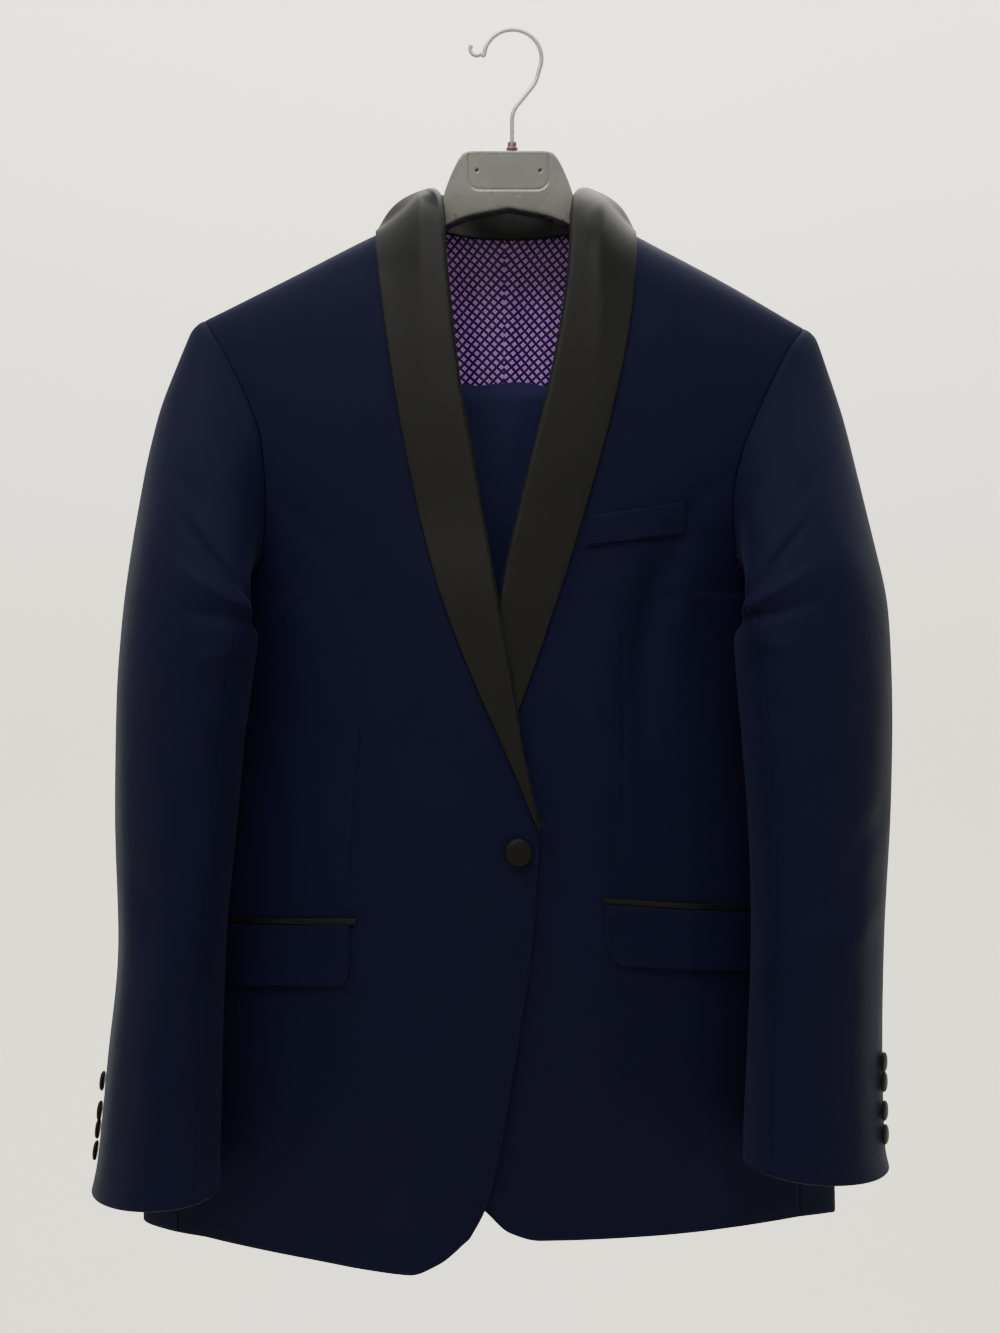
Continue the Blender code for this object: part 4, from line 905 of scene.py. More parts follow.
def sleeve_panel(word, side, rings, tube, normals, under):
    u = spaced(44 if under else 60)
    points, directions = [], []
    for row, ring in enumerate(rings):
        front, back = SLEEVE_SEAMS.at("front", ring), SLEEVE_SEAMS.at("back", ring)
        degrees = lerp(front, back + 360, u) if under else lerp(back, front, u)
        points.append(read_tube(tube, row, degrees))
        directions.append(read_tube(normals, row, degrees))
    points, directions = np.array(points), unit(np.array(directions))
    points = points + directions * rolled(u, 0.0007)[None, :, None]
    name = ("Under" if under else "Top") + f"_sleeve_{word}"
    return cloth_shell(name, points, directions, SLEEVE_CLOTH, WOOL)


tubes = {}
for word, side in (("right", RIGHT), ("left", LEFT)):
    tubes[side] = sleeve_tube(side)
    for under in (False, True):
        panel = sleeve_panel(word, side, *tubes[side], under)
        node = ("under" if under else "top") + f"_sleeve_{word}"
        declare(panel, [node])

# %% [markdown]
# ## The shawl collar
# One strip of satin runs from each lapel's point up the chest, over the shoulder and round the neck,
# where the two halves meet. It lies on the front at its outer edge and rolls over at its inner one.

# %% Sizes of the collar
LAPEL = {
    RIGHT: Table("row roll_x roll_z out_x out_z roll_lift", [
        (0, 0.0185, -0.5930, 0.0190, -0.5975, 0.0006), (1, 0.0090, -0.5450, -0.0010, -0.5490, 0.0006),
        (2, 0.0000, -0.4890, -0.0260, -0.4920, 0.0006), (3, -0.0120, -0.4180, -0.0530, -0.4200, 0.0008),
        (4, -0.0240, -0.3470, -0.0720, -0.3450, 0.0014), (5, -0.0370, -0.2750, -0.0855, -0.2720, 0.0026),
        (6, -0.0455, -0.2100, -0.0945, -0.2120, 0.0060), (7, -0.0520, -0.1620, -0.0995, -0.1740, 0.0120)]),
    LEFT: Table("row roll_x roll_z out_x out_z roll_lift", [
        (0, -0.0250, -0.5850, -0.0235, -0.5890, 0.0006), (1, -0.0220, -0.5400, -0.0080, -0.5450, 0.0006),
        (2, -0.0180, -0.4890, 0.0120, -0.4920, 0.0006), (3, -0.0080, -0.4250, 0.0340, -0.4280, 0.0008),
        (4, 0.0100, -0.3450, 0.0590, -0.3460, 0.0014), (5, 0.0270, -0.2750, 0.0780, -0.2720, 0.0026),
        (6, 0.0400, -0.2100, 0.0885, -0.2120, 0.0060), (7, 0.0470, -0.1630, 0.0920, -0.1740, 0.0120)])}
COLLAR_TOP = {RIGHT: (-0.0560, -0.1010), LEFT: (0.0530, 0.0930)}
COLLAR_STAND_OFF, COLLAR_BACK, COLLAR_FALL, GAP = 0.019, (0.0490, -0.1120), 0.60, 0.0003
COLLAR_ROWS, COLLAR_COLUMNS = 150, 24


def lapel_place(side, row, width):
    table = LAPEL[side]
    x = lerp(table.at("roll_x", row), table.at("out_x", row), width)
    z = lerp(table.at("roll_z", row), table.at("out_z", row), width)
    if row > 7:
        x = lerp(x, lerp(*COLLAR_TOP[side], width), row - 7)
        z = upper_height(x, lerp(upper_share(x, z), 0.998, row - 7))
    return x, z


def lapel_lift(side, row, width):
    over = max(row - 7, 0)
    roll = lerp(LAPEL[side].at("roll_lift", row), COLLAR_STAND_OFF, over)
    return roll * (1 - width) ** 1.6 + lerp(2, 8, over) * GAP + LAPEL_CLOTH


def collar_row(side, row, width):
    if row <= 8:
        x, z = lapel_place(side, row, width)
        return on_body(x, z, False, lapel_lift(side, row, width) + front_lift(side, x, z))
    quarter = (row - 8) / 3 * PI / 2
    x, z = lapel_place(side, 8, np.array(0.0))
    shoulder = on_body(x, z, False, lapel_lift(side, 8, 0.0) + front_lift(side, x, z))
    reach, height = COLLAR_BACK
    fold = np.array([lerp(0.0, shoulder[0], math.cos(quarter)), lerp(shoulder[1], reach, math.sin(quarter)),
                     lerp(shoulder[2], height, math.sin(quarter))])
    fall_x = lerp(0.0, COLLAR_TOP[side][1], math.cos(quarter) ** 0.8 if row < 11 else 0.0)
    fall = on_body(fall_x, upper_height(fall_x, lerp(1.0, COLLAR_FALL, math.sin(quarter))), True,
                   11 * GAP + LAPEL_CLOTH)
    outward = unit(np.cross(fall - fold, [-math.sin(quarter) * side, math.cos(quarter), 0]))
    if outward @ np.array([fold[0], 0.02, 0.05]) < 0:
        outward = -outward
    bulge = 0.0085 * np.sin(PI * width)
    return lerp(fold, fall, width[:, None]) + outward * bulge[:, None]


def make_collar(word, side):
    width = spaced(COLLAR_COLUMNS)
    rows = np.concatenate([[0, 0.01, 0.03], np.linspace(0, 11, COLLAR_ROWS + 1)[1:]])
    points = np.array([collar_row(side, row, width) for row in rows])
    for _ in range(8):
        points[1:-1] = (points[:-2] + 2 * points[1:-1] + points[2:]) / 4
    normals = grid_normals(points)
    facing = 1 if normals[20, 8, 1] < 0 else -1
    normals = normals * facing
    turned = np.clip(1 - width / 0.07, 0, 1)
    drop = -0.0026 * (1 - np.sqrt(1 - turned ** 2)) + rolled(width, 0.0008)
    points = points + normals * drop[None, :, None]
    return cloth_shell(f"Shawl_collar_{word}", points, normals, LAPEL_CLOTH, SATIN)


for word, side in (("right", RIGHT), ("left", LEFT)):
    declare(make_collar(word, side), [f"shawl_collar_{word}"])


def make_collar_stand():
    half_width, reach, top_height, foot_height, inset = 0.050, 0.0415, -0.1165, -0.1500, 0.0075
    turn = lerp(math.radians(14), math.radians(166), spaced(60))
    top = np.stack([-half_width * np.cos(turn) - 0.002, reach * np.sin(turn), top_height + 0 * turn], axis=-1)
    x = -half_width * np.cos(turn) - 0.001
    foot = np.stack([x, ridge_depth(x) - inset, foot_height + 0 * turn], axis=-1)
    v = np.linspace(0, 1, 18)[:, None, None]
    outward = np.stack([-np.cos(turn), np.sin(turn), 0 * turn], axis=-1)
    points = lerp(top, foot, v) + outward * 0.002 * np.sin(PI * v)
    return cloth_shell("Collar_stand", points, outward + 0 * points, 0.0014, SATIN)


declare(make_collar_stand(), ["collar_stand"])

# %% [markdown]
# ## Pockets
# The breast welt is a strip of the suiting let into the chest. Each hip pocket has a flap under a narrow
# satin jetting. They are made from the front's own surface, moved out, so that they follow its creases.

# %% Welt, jettings and flaps


def make_patch(name, side, corners, thickness, columns, rows, material, corner=0.0, lift=0.0007, belly=0.0):
    (ax, az), (bx, bz), (cx, cz), (dx, dz) = corners
    u, v = spaced(columns)[None, :], spaced(rows)[:, None]
    x = lerp(lerp(cx, dx, u), lerp(ax, bx, u), v)
    z = lerp(lerp(cz, dz, u), lerp(az, bz, u), v)
    if corner:
        reach = np.abs(x - cx)
        bend = corner - np.sqrt(np.maximum(corner ** 2 - (corner - np.minimum(reach, corner)) ** 2, 0))
        z = z + bend * (1 - v)
    height = front_lift(side, x, z) + lift + thickness + rolled(u, thickness / 2) + rolled(v, thickness / 2)
    height = height + belly * np.sin(PI * np.clip(u * 1.0, 0, 1)) * (1 - v) ** 1.5
    points = on_body(x, z, False, height)
    normals = on_body(x, z, False, height + 1.0) - points
    return cloth_shell(name, points, normals, thickness, material)


POCKETS = [
    ("Breast_welt", "breast_welt", LEFT, "suiting", 0.0012, 0.0, 0.0,
     [(0.0560, -0.3722), (0.1262, -0.3603), (0.0530, -0.3937), (0.1255, -0.3840)]),
    ("Pocket_jet_right", "pocket_jet_right", RIGHT, "satin", 0.0011, 0.0, 0.0,
     [(-0.1111, -0.6608), (-0.2380, -0.6675), (-0.1111, -0.6651), (-0.2380, -0.6718)]),
    ("Pocket_jet_left", "pocket_jet_left", LEFT, "satin", 0.0011, 0.0, 0.0,
     [(0.0657, -0.6449), (0.2020, -0.6600), (0.0657, -0.6490), (0.2020, -0.6640)]),
    ("Pocket_flap_right", "pocket_flap_right", RIGHT, "suiting", 0.0018, 0.010, 0.0012,
     [(-0.1161, -0.6658), (-0.2380, -0.6725), (-0.1165, -0.7100), (-0.2380, -0.7165)]),
    ("Pocket_flap_left", "pocket_flap_left", LEFT, "suiting", 0.0018, 0.010, 0.0014,
     [(0.0664, -0.6496), (0.2020, -0.6646), (0.0700, -0.6940), (0.2020, -0.7070)])]
for name, node, side, slot, thickness, corner, belly, corners in POCKETS:
    high = 30 if corner else 8
    patch = make_patch(name, side, corners, thickness, 90, high, SATIN if slot == "satin" else WOOL, corner,
                       0.0007, belly)
    declare(patch, [node])

# %% [markdown]
# ## Trousers over the bar
# The pressed legs lie on each other and hang from the bar on both sides. Each outer layer is one long
# strip over the fold. The layers between them are one rounded stack, and the waistband ends the back.

# %% The folded trousers
TROUSER_LEFT, TROUSER_SEAM, TROUSER_RIGHT = -0.160, -0.050, 0.055
TROUSER_DROP, BAR_HEIGHT, BAR_RADIUS = 0.515, -0.283, 0.005
FOLD_OUTER, TROUSER_CLOTH, WAISTBAND = 0.0165, 0.0016, 0.038
TROUSER_CREASES = [
    (-0.030, 0.440, -0.034, 0.610, 0.009, -0.0012), (-0.005, 0.455, 0.000, 0.620, 0.010, 0.0014),
    (0.022, 0.430, 0.018, 0.580, 0.008, -0.0012), (-0.080, 0.300, -0.084, 0.640, 0.012, 0.0012),
    (-0.060, 0.100, -0.052, 0.380, 0.014, -0.0010), (0.010, 0.060, 0.014, 0.300, 0.012, 0.0010)]


def fold_grid(radius, x, lift):
    """Points of a layer over the bar, by the run along it from its front end to its back end."""
    drop = TROUSER_DROP
    bend = PI * radius
    run = np.concatenate([np.linspace(0, drop, 70)[:-1], drop + np.linspace(0, bend, 25),
                          drop + bend + np.linspace(0, drop, 70)[1:]])[:, None]
    angle = np.clip((run - drop) / radius, 0, PI)
    fallen = np.where(run < drop, drop - run, np.maximum(run - drop - bend, 0)) / drop
    squeeze = 1 - 0.22 * smooth(fallen, 0.0, 1.4)
    outward = np.stack([-np.cos(angle) + 0 * x, 0 * x + np.sin(angle)], axis=-1)
    lift = lift + crease_lift(x, run, TROUSER_CREASES)
    y = (radius * squeeze + lift) * outward[..., 0]
    z = BAR_HEIGHT + (radius + lift) * outward[..., 1] - drop * fallen
    points = np.stack([x + 0 * run, y, z + 0 * x], axis=-1)
    return points, np.stack([0 * y, outward[..., 0], outward[..., 1]], axis=-1)


def make_trouser_layer(name, low, high, radius, thickness, columns):
    x = lerp(low, high, spaced(columns))[None, :]
    points, normals = fold_grid(radius, x, rolled(spaced(columns), 0.0008)[None, :])
    return cloth_shell(name, points, unit(normals), thickness, TROUSER_WOOL)


for word, start, end in (("back", TROUSER_LEFT, TROUSER_SEAM), ("front", TROUSER_SEAM, TROUSER_RIGHT)):
    leg_panel = make_trouser_layer(f"Trouser_{word}_panel", start, end, FOLD_OUTER, TROUSER_CLOTH, 34)
    declare(leg_panel, [f"trouser_{word}_panel"])
stack_thickness = FOLD_OUTER - TROUSER_CLOTH - 0.0004 - BAR_RADIUS - 0.0006
stack = make_trouser_layer("Trouser_folded_layers", TROUSER_LEFT + 0.002, TROUSER_RIGHT - 0.002,
                           FOLD_OUTER - TROUSER_CLOTH - 0.0004, stack_thickness, 30)
declare(stack, ["trouser_folded_layers"])


def make_waistband():
    x = lerp(TROUSER_LEFT, TROUSER_RIGHT, spaced(40))[None, :]
    v = spaced(12)[:, None]
    y = FOLD_OUTER * 0.80 + 0.0034 + rolled(v, 0.0006) + 0.0006 * np.sin(x * 90)
    z = BAR_HEIGHT - TROUSER_DROP + WAISTBAND * v + 0 * x
    points = np.stack([x + 0 * v, y + 0 * z, z], axis=-1)
    normals = np.zeros_like(points)
    normals[..., 1] = 1
    return cloth_shell("Trouser_waistband", points, normals, TROUSER_CLOTH, TROUSER_WOOL)


declare(make_waistband(), ["trouser_waistband"])

# %% [markdown]
# ## Buttons
# A covered button is a low dome with the cloth gathered over its rim. The one on the front is satin and
# shows the ribs of its cover; four small ones stand near each cuff. All are turned about their own axis.

# %% Covered buttons


def make_button(name, foot, outward, radius, height):
    outward = unit(outward)
    across = unit(np.cross(outward, [0, 0, 1.0]))
    upward = np.cross(across, outward)
    profile = np.array([(0.0, 0.10), (0.50, 0.06), (0.86, 0.08), (0.95, 0.16), (0.992, 0.27), (1.0, 0.40),
                        (0.985, 0.52), (0.945, 0.63), (0.87, 0.75), (0.76, 0.84), (0.62, 0.91),
                        (0.46, 0.955), (0.28, 0.985), (0.12, 0.998), (0.0, 1.0)])
    turns = np.radians(np.arange(72) * 5)
    gather = 1 + 0.006 * np.sin(turns * 14)[None, :] * smooth(profile[:, 0], 0.80, 0.98)[:, None]
    reach = radius * profile[1:-1, :1] * gather[1:-1]
    rise = height * profile[1:-1, 1:]
    points = (foot + rise[..., None] * outward + reach[..., None]
              * (np.cos(turns)[:, None] * across + np.sin(turns)[:, None] * upward)[None])
    rows, columns = points.shape[:2]
    every = np.concatenate([points.reshape(-1, 3), [foot + outward * height * 0.10, foot + outward * height]])
    faces = []
    for r in range(rows - 1):
        for c in range(columns):
            after = (c + 1) % columns
            low, high = r * columns, (r + 1) * columns
            faces.append([low + c, high + c, high + after, low + after])
    last = (rows - 1) * columns
    for c in range(columns):
        after = (c + 1) % columns
        faces.append([c, after, rows * columns])
        faces.append([last + after, last + c, rows * columns + 1])
    flat = np.stack([(every - foot) @ across, (every - foot) @ upward], axis=-1)
    button = mesh_object(name, every, [face[::-1] for face in faces], BUTTON_CLOTH, flat)
    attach(button, "root")
    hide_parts(name.lower())
    return button


place, step = (0.0045, -0.6108), 0.01
foot = on_body(*place, False, 0.0006 + lap(*place, RIGHT))
make_button("Front_button", foot, on_body(*place, False, step + lap(*place, RIGHT)) - foot, 0.0100, 0.0052)
for word, side, rings, turn in (("right", RIGHT, (10.25, 10.45, 10.65, 10.85), 8),
                                ("left", LEFT, (10.15, 10.355, 10.56, 10.765), 30)):
    tube_rings, tube, tube_normals = tubes[side]
    for number, ring in enumerate(rings, start=1):
        row = int(np.argmin(np.abs(tube_rings - ring)))
        foot = read_tube(tube, row, np.array([turn]))[0]
        outward = read_tube(tube_normals, row, np.array([turn]))[0]
        make_button(f"Cuff_button_{word}_{number}", foot + outward * 0.0008, outward, 0.0073, 0.0038)
print("buttons made: 9")

# %% [markdown]
# ## The hanger
# The hanger is moulded in dark plastic: a tall plate in the middle for a maker's card, with an empty
# recess, and arms that widen toward the shoulders. Its hook is bent from steel wire in a small ferrule.

# %% Plastic, steel and ferrule finishes


def make_plastic(name):
    nodes = Nodes(name)
    place = nodes.place()
    grain, cloud = nodes.noise(place, 900.0, 3.0), nodes.noise(place, 22.0, 4.0)
    # Painted light by height: the upper plate is given a paler tone as a painted reflection of the light, and
    # the lower part and the bar keep the plastic's own dark tone, which here also stands for painted shade
    # under the hanger.
    height = nodes.add("ShaderNodeSeparateXYZ", place).outputs[2]
    level = nodes.add("ShaderNodeMapRange", height, -0.148, -0.118).outputs[0]
    dark = nodes.mix(cloud, (0.016, 0.016, 0.017, 1), (0.036, 0.036, 0.037, 1))
    painted_reflection_tone = nodes.mix(cloud, (0.048, 0.049, 0.049, 1), (0.088, 0.089, 0.088, 1))
    nodes.link(nodes.mix(level, dark, painted_reflection_tone), "Base Color")
    nodes.link(nodes.math("ADD", nodes.math("MULTIPLY", cloud, 0.20), 0.18), "Roughness")
    nodes.shader.inputs["Coat Weight"].default_value = 0.5
    nodes.shader.inputs["Coat Roughness"].default_value = 0.2
    nodes.link(nodes.bump(grain, 0.00012, 0.5), "Normal")
    return nodes.material


def make_steel(name):
    nodes = Nodes(name)
    place = nodes.place()
    drawn = nodes.noise(place, 600.0, 2.0)
    nodes.link(nodes.mix(drawn, (0.20, 0.20, 0.20, 1), (0.42, 0.41, 0.40, 1)), "Base Color")
    nodes.link(nodes.math("ADD", nodes.math("MULTIPLY", drawn, 0.16), 0.20), "Roughness")
    nodes.link(nodes.bump(drawn, 0.00004, 0.4), "Normal")
    nodes.set(metallic=1.0)
    return nodes.material


def make_ferrule_finish(name):
    nodes = Nodes(name)
    cloud = nodes.noise(nodes.place(), 260.0, 3.0)
    nodes.link(nodes.mix(cloud, (0.030, 0.009, 0.008, 1), (0.085, 0.026, 0.020, 1)), "Base Color")
    nodes.link(nodes.math("ADD", nodes.math("MULTIPLY", cloud, 0.2), 0.30), "Roughness")
    nodes.link(nodes.bump(cloud, 0.00008, 0.4), "Normal")
    return nodes.material


PLASTIC, STEEL = make_plastic("hanger plastic"), make_steel("drawn steel")
FERRULE = make_ferrule_finish("ferrule")

# %% The hanger's body with its card recess
HANGER = Table("reach top foot half_depth", [
    (0.000, -0.0915, -0.1355, 0.0080), (0.025, -0.0915, -0.1403, 0.0082),
    (0.0325, -0.0925, -0.1425, 0.0084), (0.0365, -0.0965, -0.1440, 0.0085),
    (0.043, -0.1090, -0.1470, 0.0088), (0.0490, -0.1260, -0.1505, 0.0088),
    (0.0525, -0.1450, -0.1570, 0.0090), (0.062, -0.1510, -0.1650, 0.0105),
    (0.100, -0.1690, -0.1870, 0.0125), (0.150, -0.1960, -0.2140, 0.0145),
    (0.200, -0.2250, -0.2430, 0.0150), (0.207, -0.2320, -0.2400, 0.0120)])
HANGER_X = -0.002
CARD_HALF, CARD_FOOT, CARD_CORNER = 0.0300, -0.1215, 0.0085
PIN_REACH, PIN_HEIGHT, PIN_RADIUS = 0.0238, -0.1070, 0.0012


def card_distance(x, z):
    """Distance inside (negative) or outside of the card's outline, open at the top."""
    a = np.abs(x) - (CARD_HALF - CARD_CORNER)
    b = (CARD_FOOT + CARD_CORNER) - z
    return np.hypot(np.maximum(a, 0), np.maximum(b, 0)) + np.minimum(np.maximum(a, b), 0) - CARD_CORNER


def make_hanger():
    reach = np.concatenate([np.linspace(0, 0.0655, 100), np.linspace(0.067, 0.200, 60),
                            [0.203, 0.205, 0.2065, 0.207]])
    x = np.concatenate([-reach[:0:-1], reach])
    top, foot = HANGER.at("top", np.abs(x)), HANGER.at("foot", np.abs(x))
    depth = HANGER.at("half_depth", np.abs(x))
    face = np.linspace(0.0, 1.0, 64)
    rounding = np.radians(np.linspace(0, 90, 7))
    corner = np.minimum(0.35 * depth, 0.3 * (top - foot))
    loops = []
    for k in range(len(x)):
        c, d, t, f = corner[k], depth[k], top[k], foot[k]
        front_z = lerp(f + c, t - c, face)
        groove = -0.0009 * np.exp(-(card_distance(x[k], front_z) / 0.00055) ** 2)
        plate = -0.0004 * (card_distance(x[k], front_z) < 0)
        pin = np.hypot(np.abs(x[k]) - PIN_REACH, front_z - PIN_HEIGHT)
        hole = -0.0026 * (1 - smooth(pin, PIN_RADIUS * 0.8, PIN_RADIUS * 1.15))
        recess = (groove + plate + hole) * smooth(c, 0.0, 0.002)
        front = np.stack([-d - recess, front_z], axis=-1)
        up = np.stack([-d + c - c * np.cos(rounding), t - c + c * np.sin(rounding)], axis=-1)[1:]
        over = np.stack([d - c + c * np.sin(rounding), t - c + c * np.cos(rounding)], axis=-1)
        back = np.stack([0 * face[1:-1] + d, lerp(t - c, f + c, face[1:-1])], axis=-1)[::3]
        down = np.stack([d - c + c * np.cos(rounding), f + c - c * np.sin(rounding)], axis=-1)
        under = np.stack([-d + c - c * np.sin(rounding), f + c - c * np.cos(rounding)], axis=-1)[:-1]
        loop = np.concatenate([front, up, over, back, down, under])
        loops.append(np.concatenate([np.full((len(loop), 1), x[k] + HANGER_X), loop], axis=1))
    points = np.array(loops)
    rows, columns = points.shape[:2]
    index = np.arange(rows * columns).reshape(rows, columns)
    after = np.roll(index, -1, axis=1)
    faces = np.stack([index[:-1], index[1:], after[1:], after[:-1]], axis=-1).reshape(-1, 4).tolist()
    faces += [index[0].tolist(), index[-1][::-1].tolist()]
    body = mesh_object("Hanger_plate", points.reshape(-1, 3), faces, PLASTIC)
    return body


hanger = make_hanger()
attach(hanger, "root")
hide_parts("hanger_body")

# %% [markdown]
# ## Wire that follows a path
# The hook and the bar are each a round rod along a line. One node tree does it for both: it takes a
# curve, gives it a round section and sets the finish. Its inputs have names, and each rod is kept as a plain
# mesh.

# %% A node tree that sweeps a round rod along a curve


def rod_tree():
    tree = bpy.data.node_groups.new("round rod", "GeometryNodeTree")
    tree.interface.new_socket("Geometry", in_out="INPUT", socket_type="NodeSocketGeometry")
    tree.interface.new_socket("Geometry", in_out="OUTPUT", socket_type="NodeSocketGeometry")
    for name, kind in (("Radius", "NodeSocketFloat"), ("Length step", "NodeSocketFloat"),
                       ("Sides", "NodeSocketInt"), ("Finish", "NodeSocketMaterial")):
        tree.interface.new_socket(name, in_out="INPUT", socket_type=kind)
    add, link = tree.nodes.new, tree.links.new
    start, end = add("NodeGroupInput"), add("NodeGroupOutput")
    curve, again = add("GeometryNodeMeshToCurve"), add("GeometryNodeResampleCurve")
    ring, sweep = add("GeometryNodeCurvePrimitiveCircle"), add("GeometryNodeCurveToMesh")
    real, paint, smoothen = add("GeometryNodeRealizeInstances"), add("GeometryNodeSetMaterial"), \
        add("GeometryNodeSetShadeSmooth")
    again.mode = "LENGTH"
    link(start.outputs["Geometry"], curve.inputs[0])
    link(curve.outputs[0], again.inputs["Curve"])
    link(start.outputs["Length step"], again.inputs["Length"])
    link(start.outputs["Sides"], ring.inputs["Resolution"])
    link(start.outputs["Radius"], ring.inputs["Radius"])
    link(again.outputs[0], sweep.inputs["Curve"])
    link(ring.outputs[0], sweep.inputs["Profile Curve"])
    sweep.inputs["Fill Caps"].default_value = True
    link(sweep.outputs[0], smoothen.inputs[0])
    link(smoothen.outputs[0], real.inputs[0])
    link(real.outputs[0], paint.inputs["Geometry"])
    link(start.outputs["Finish"], paint.inputs["Material"])
    link(paint.outputs[0], end.inputs[0])
    return tree


ROD = rod_tree()


def make_rod(name, route, radius, step, sides, finish):
    mesh = bpy.data.meshes.new(name + "_path")
    mesh.from_pydata([tuple(point) for point in route], [(n, n + 1) for n in range(len(route) - 1)], [])
    source = bpy.data.objects.new(name + "_path", mesh)
    bpy.context.scene.collection.objects.link(source)
    modifier = source.modifiers.new("rod", "NODES")
    modifier.node_group = ROD
    sockets = {item.name: item.identifier for item in ROD.interface.items_tree if item.in_out == "INPUT"}
    for key, value in (("Radius", radius), ("Length step", step), ("Sides", sides), ("Finish", finish)):
        modifier[sockets[key]] = value
    shaped = bpy.data.meshes.new_from_object(source.evaluated_get(bpy.context.evaluated_depsgraph_get()))
    rod = bpy.data.objects.new(name, shaped)
    bpy.context.scene.collection.objects.link(rod)
    bpy.data.objects.remove(source, do_unlink=True)
    if not rod.data.materials:
        rod.data.materials.append(finish)
    print(f"{name}: {len(rod.data.polygons)} faces")
    return rod


WIRE, HOOK_RADIUS, BEND = 0.00175, 0.0219, 0.016


def curve_through(route, steps):
    """A smooth line through the route's points (Catmull-Rom)."""
    route = [np.array(p, float) for p in route]
    route = [2 * route[0] - route[1]] + route + [2 * route[-1] - route[-2]]
    line = []
    for a, b, c, d in zip(route, route[1:], route[2:], route[3:]):
        for t in np.arange(steps) / steps:
            line.append(0.5 * (2 * b + (c - a) * t + (2 * a - 5 * b + 4 * c - d) * t ** 2
                               + (3 * b - a - 3 * c + d) * t ** 3))
    return line + [route[-2]]


middle = np.array([0.0012, 0, -(HOOK_RADIUS - WIRE)])
hook_route = [(0.0008, 0, -0.0905), (0.0008, 0, -0.0760), (0.0010, 0, -0.0650), (0.0035, 0, -0.0575),
              (0.0110, 0, -0.0480), (0.0182, 0, -0.0385)]
for turn in np.radians(np.linspace(-22, 174, 13)):
    hook_route.append(middle + HOOK_RADIUS * np.array([math.cos(turn), 0, math.sin(turn)]))
curl = np.array([-0.0258, 0, -0.0128])
for turn in np.radians(np.linspace(-20, -210, 7))[1:]:
    hook_route.append(curl + 0.0050 * np.array([math.cos(turn), 0, math.sin(turn)]))
hook = make_rod("Hook_wire", curve_through(hook_route, 8), WIRE, 0.0008, 24, STEEL)
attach(hook, "root")
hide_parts("hanger_hook")

BAR_REACH = 0.172
post_top = HANGER.at("foot", BAR_REACH) + 0.0005
bar_half = [(BAR_REACH, post_top), (BAR_REACH, BAR_HEIGHT + BEND)]
for turn in np.radians(np.linspace(0, 90, 9))[1:]:
    bar_half.append((BAR_REACH - BEND + BEND * math.cos(turn), BAR_HEIGHT + BEND - BEND * math.sin(turn)))
bar_route = [(x + HANGER_X, 0, z) for x, z in bar_half]
bar_route += [(-x + HANGER_X, 0, z) for x, z in reversed(bar_half)]
bar = make_rod("Bar_rod", bar_route, BAR_RADIUS, 0.003, 28, PLASTIC)
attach(bar, "root")
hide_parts("hanger_bar")


def make_ferrule():
    bore, stem_x = WIRE * 1.02, 0.0008
    profile = [(bore, -0.0912), (0.0044, -0.0912), (0.0046, -0.0910), (0.0046, -0.0884), (0.0044, -0.0880),
               (0.0037, -0.0876), (0.0036, -0.0870), (0.0036, -0.0842), (0.0034, -0.0838), (bore, -0.0838)]
    turns = np.radians(np.arange(48) * 7.5)
    points = np.array([[(stem_x + r * math.cos(a), r * math.sin(a), z) for r, z in profile] for a in turns])
    index = np.arange(len(turns) * len(profile)).reshape(len(turns), len(profile))
    after = np.roll(index, -1, axis=0)
    right = np.roll(index, -1, axis=1)
    both = np.roll(after, -1, axis=1)
    faces = np.stack([index, after, both, right], axis=-1).reshape(-1, 4)
    return mesh_object("Ferrule", points.reshape(-1, 3), faces, FERRULE)


ferrule = make_ferrule()
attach(ferrule, "root")
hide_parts("hook_ferrule")
print("hanger made")

# %% [markdown]
# ## Stage, light and camera
# A plain pale floor curves up into a wall all round. A large soft lamp hangs over the front, as shop
# lighting does, with a weaker one behind, and two broad lamps wash the wall behind and in front. The camera
# looks level at the suit's middle.

# %% The stage
FLOOR_HEIGHT, BOWL_RADIUS, BOWL_CURVE, WALL_TOP = -2.3, 4.6, 1.6, 3.4


def make_stage_finish():
    nodes = Nodes("stage paint")
    cloud = nodes.noise(nodes.place(), 0.7, 3.0)
    nodes.link(nodes.mix(cloud, (0.800, 0.790, 0.700, 1), (0.840, 0.830, 0.745, 1)), "Base Color")
    nodes.set(roughness=0.92)
    return nodes.material


def make_stage():
    arc_turns = np.radians(np.linspace(0, 90, 14))
    profile = [(0.0, FLOOR_HEIGHT), (1.5, FLOOR_HEIGHT)]
    profile += [(BOWL_RADIUS - BOWL_CURVE * (1 - math.sin(a)), FLOOR_HEIGHT + BOWL_CURVE * (1 - math.cos(a)))
                for a in arc_turns]
    profile += [(BOWL_RADIUS, WALL_TOP)]
    turns = np.radians(np.arange(96) * 3.75)
    rows = np.array([[(r * math.cos(a), r * math.sin(a), z) for a in turns] for r, z in profile[1:]])
    every = np.concatenate([rows.reshape(-1, 3), [(0, 0, FLOOR_HEIGHT)]])
    index = np.arange(rows.shape[0] * 96).reshape(rows.shape[0], 96)
    after = np.roll(index, -1, axis=1)
    faces = np.stack([index[:-1], index[1:], after[1:], after[:-1]], axis=-1).reshape(-1, 4).tolist()
    faces += [[len(every) - 1, int(index[0][k]), int(after[0][k])] for k in range(96)]
    stage = mesh_object("Stage", every, faces, make_stage_finish())
    stage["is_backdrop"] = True


make_stage()

# %% Lamps and camera


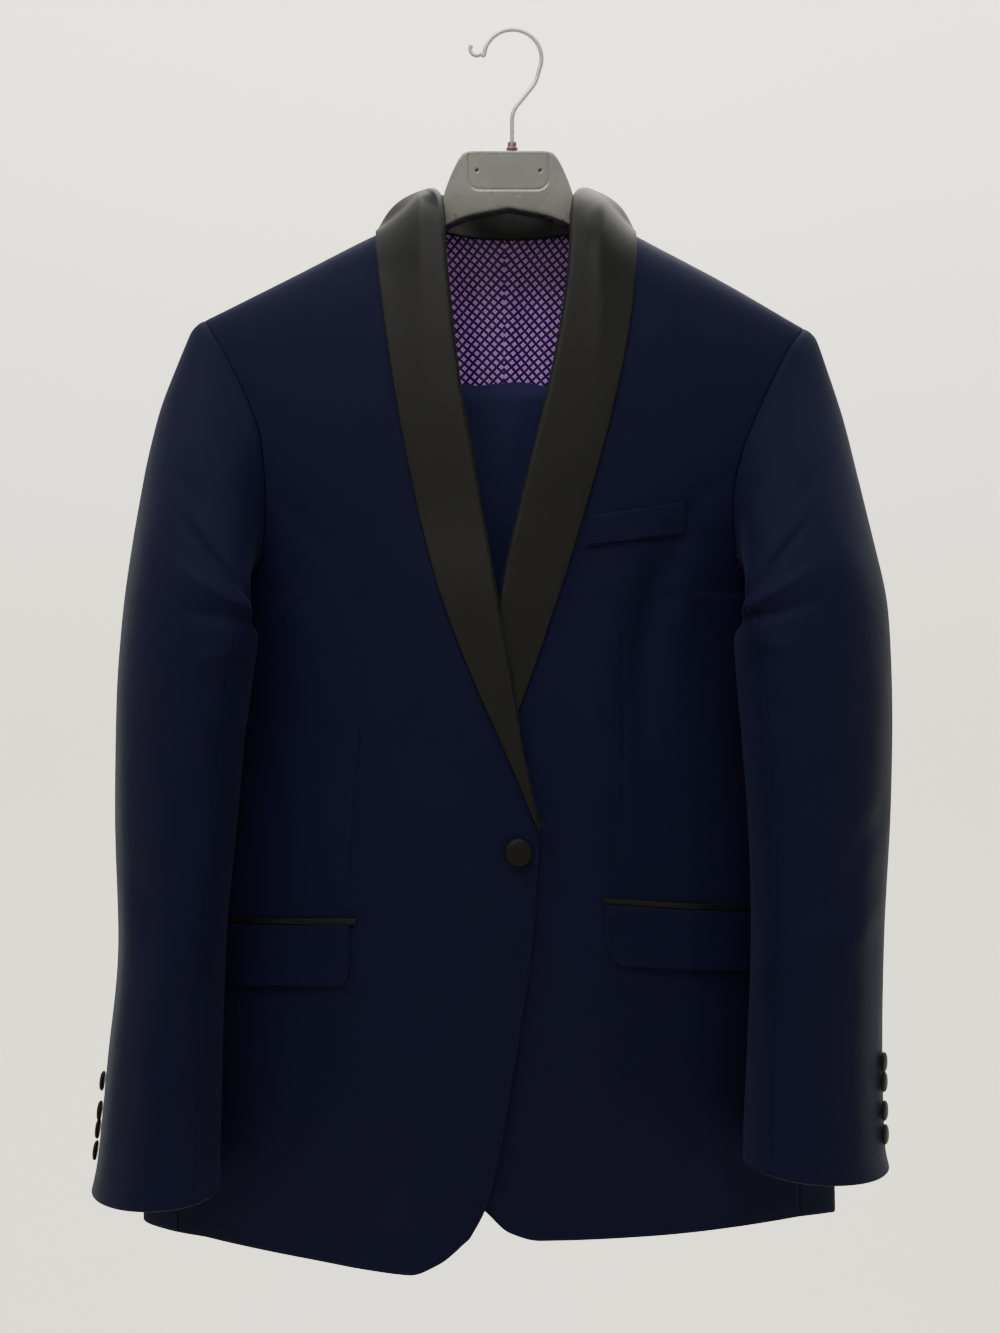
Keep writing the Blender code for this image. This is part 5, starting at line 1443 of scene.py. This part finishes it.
def add_lamp(name, place, target, size, power, colour):
    lamp = bpy.data.lights.new(name, "AREA")
    lamp.shape, lamp.size, lamp.size_y = "RECTANGLE", size[0], size[1]
    lamp.energy, lamp.color = power, colour
    thing = bpy.data.objects.new(name, lamp)
    thing.location = place
    aim = mathutils.Vector(target) - mathutils.Vector(place)
    thing.rotation_euler = aim.to_track_quat("-Z", "Y").to_euler()
    bpy.context.scene.collection.objects.link(thing)


suit_middle = (float((cad_low[0] + cad_high[0]) / 2), 0.0, float((cad_low[2] + cad_high[2]) / 2))
add_lamp("Overhead", (-0.35, -1.05, 1.30), suit_middle, (1.8, 0.9), 66, (1.0, 0.985, 0.95))
add_lamp("Rear", (0.4, 1.25, 1.40), suit_middle, (1.8, 1.0), 55, (1.0, 0.99, 0.96))
add_lamp("Wall_wash_back", (0.0, 1.6, 3.0), (0.0, 4.6, 0.4), (4.0, 1.0), 380, (1.0, 0.99, 0.96))
add_lamp("Wall_wash_front", (0.0, -1.6, 3.0), (0.0, -4.6, 0.4), (4.0, 1.0), 60, (1.0, 0.99, 0.96))

world = bpy.data.worlds.new("room")
bpy.context.scene.world = world
world.use_nodes = True
world.node_tree.nodes["Background"].inputs["Color"].default_value = (0.88, 0.92, 0.97, 1)
world.node_tree.nodes["Background"].inputs["Strength"].default_value = 0.62

CAMERA_PLACE, LOOK_LEVEL = (-0.0083, -1.21, -0.480), (math.radians(90), 0, 0)
SENSOR_HEIGHT, LENS = 36.0, 43.2
camera_data = bpy.data.cameras.new("Camera")
camera_data.sensor_fit, camera_data.sensor_height, camera_data.lens = "VERTICAL", SENSOR_HEIGHT, LENS
camera = bpy.data.objects.new("Camera", camera_data)
camera.location = CAMERA_PLACE
camera.rotation_euler = LOOK_LEVEL
bpy.context.scene.collection.objects.link(camera)
bpy.context.scene.camera = camera

# %% Measure and print the boxes
low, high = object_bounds()
print("cad box", [round(v, 4) for v in (*cad_low, *cad_high)])
print("new box", [round(v, 4) for v in (*low, *high)])
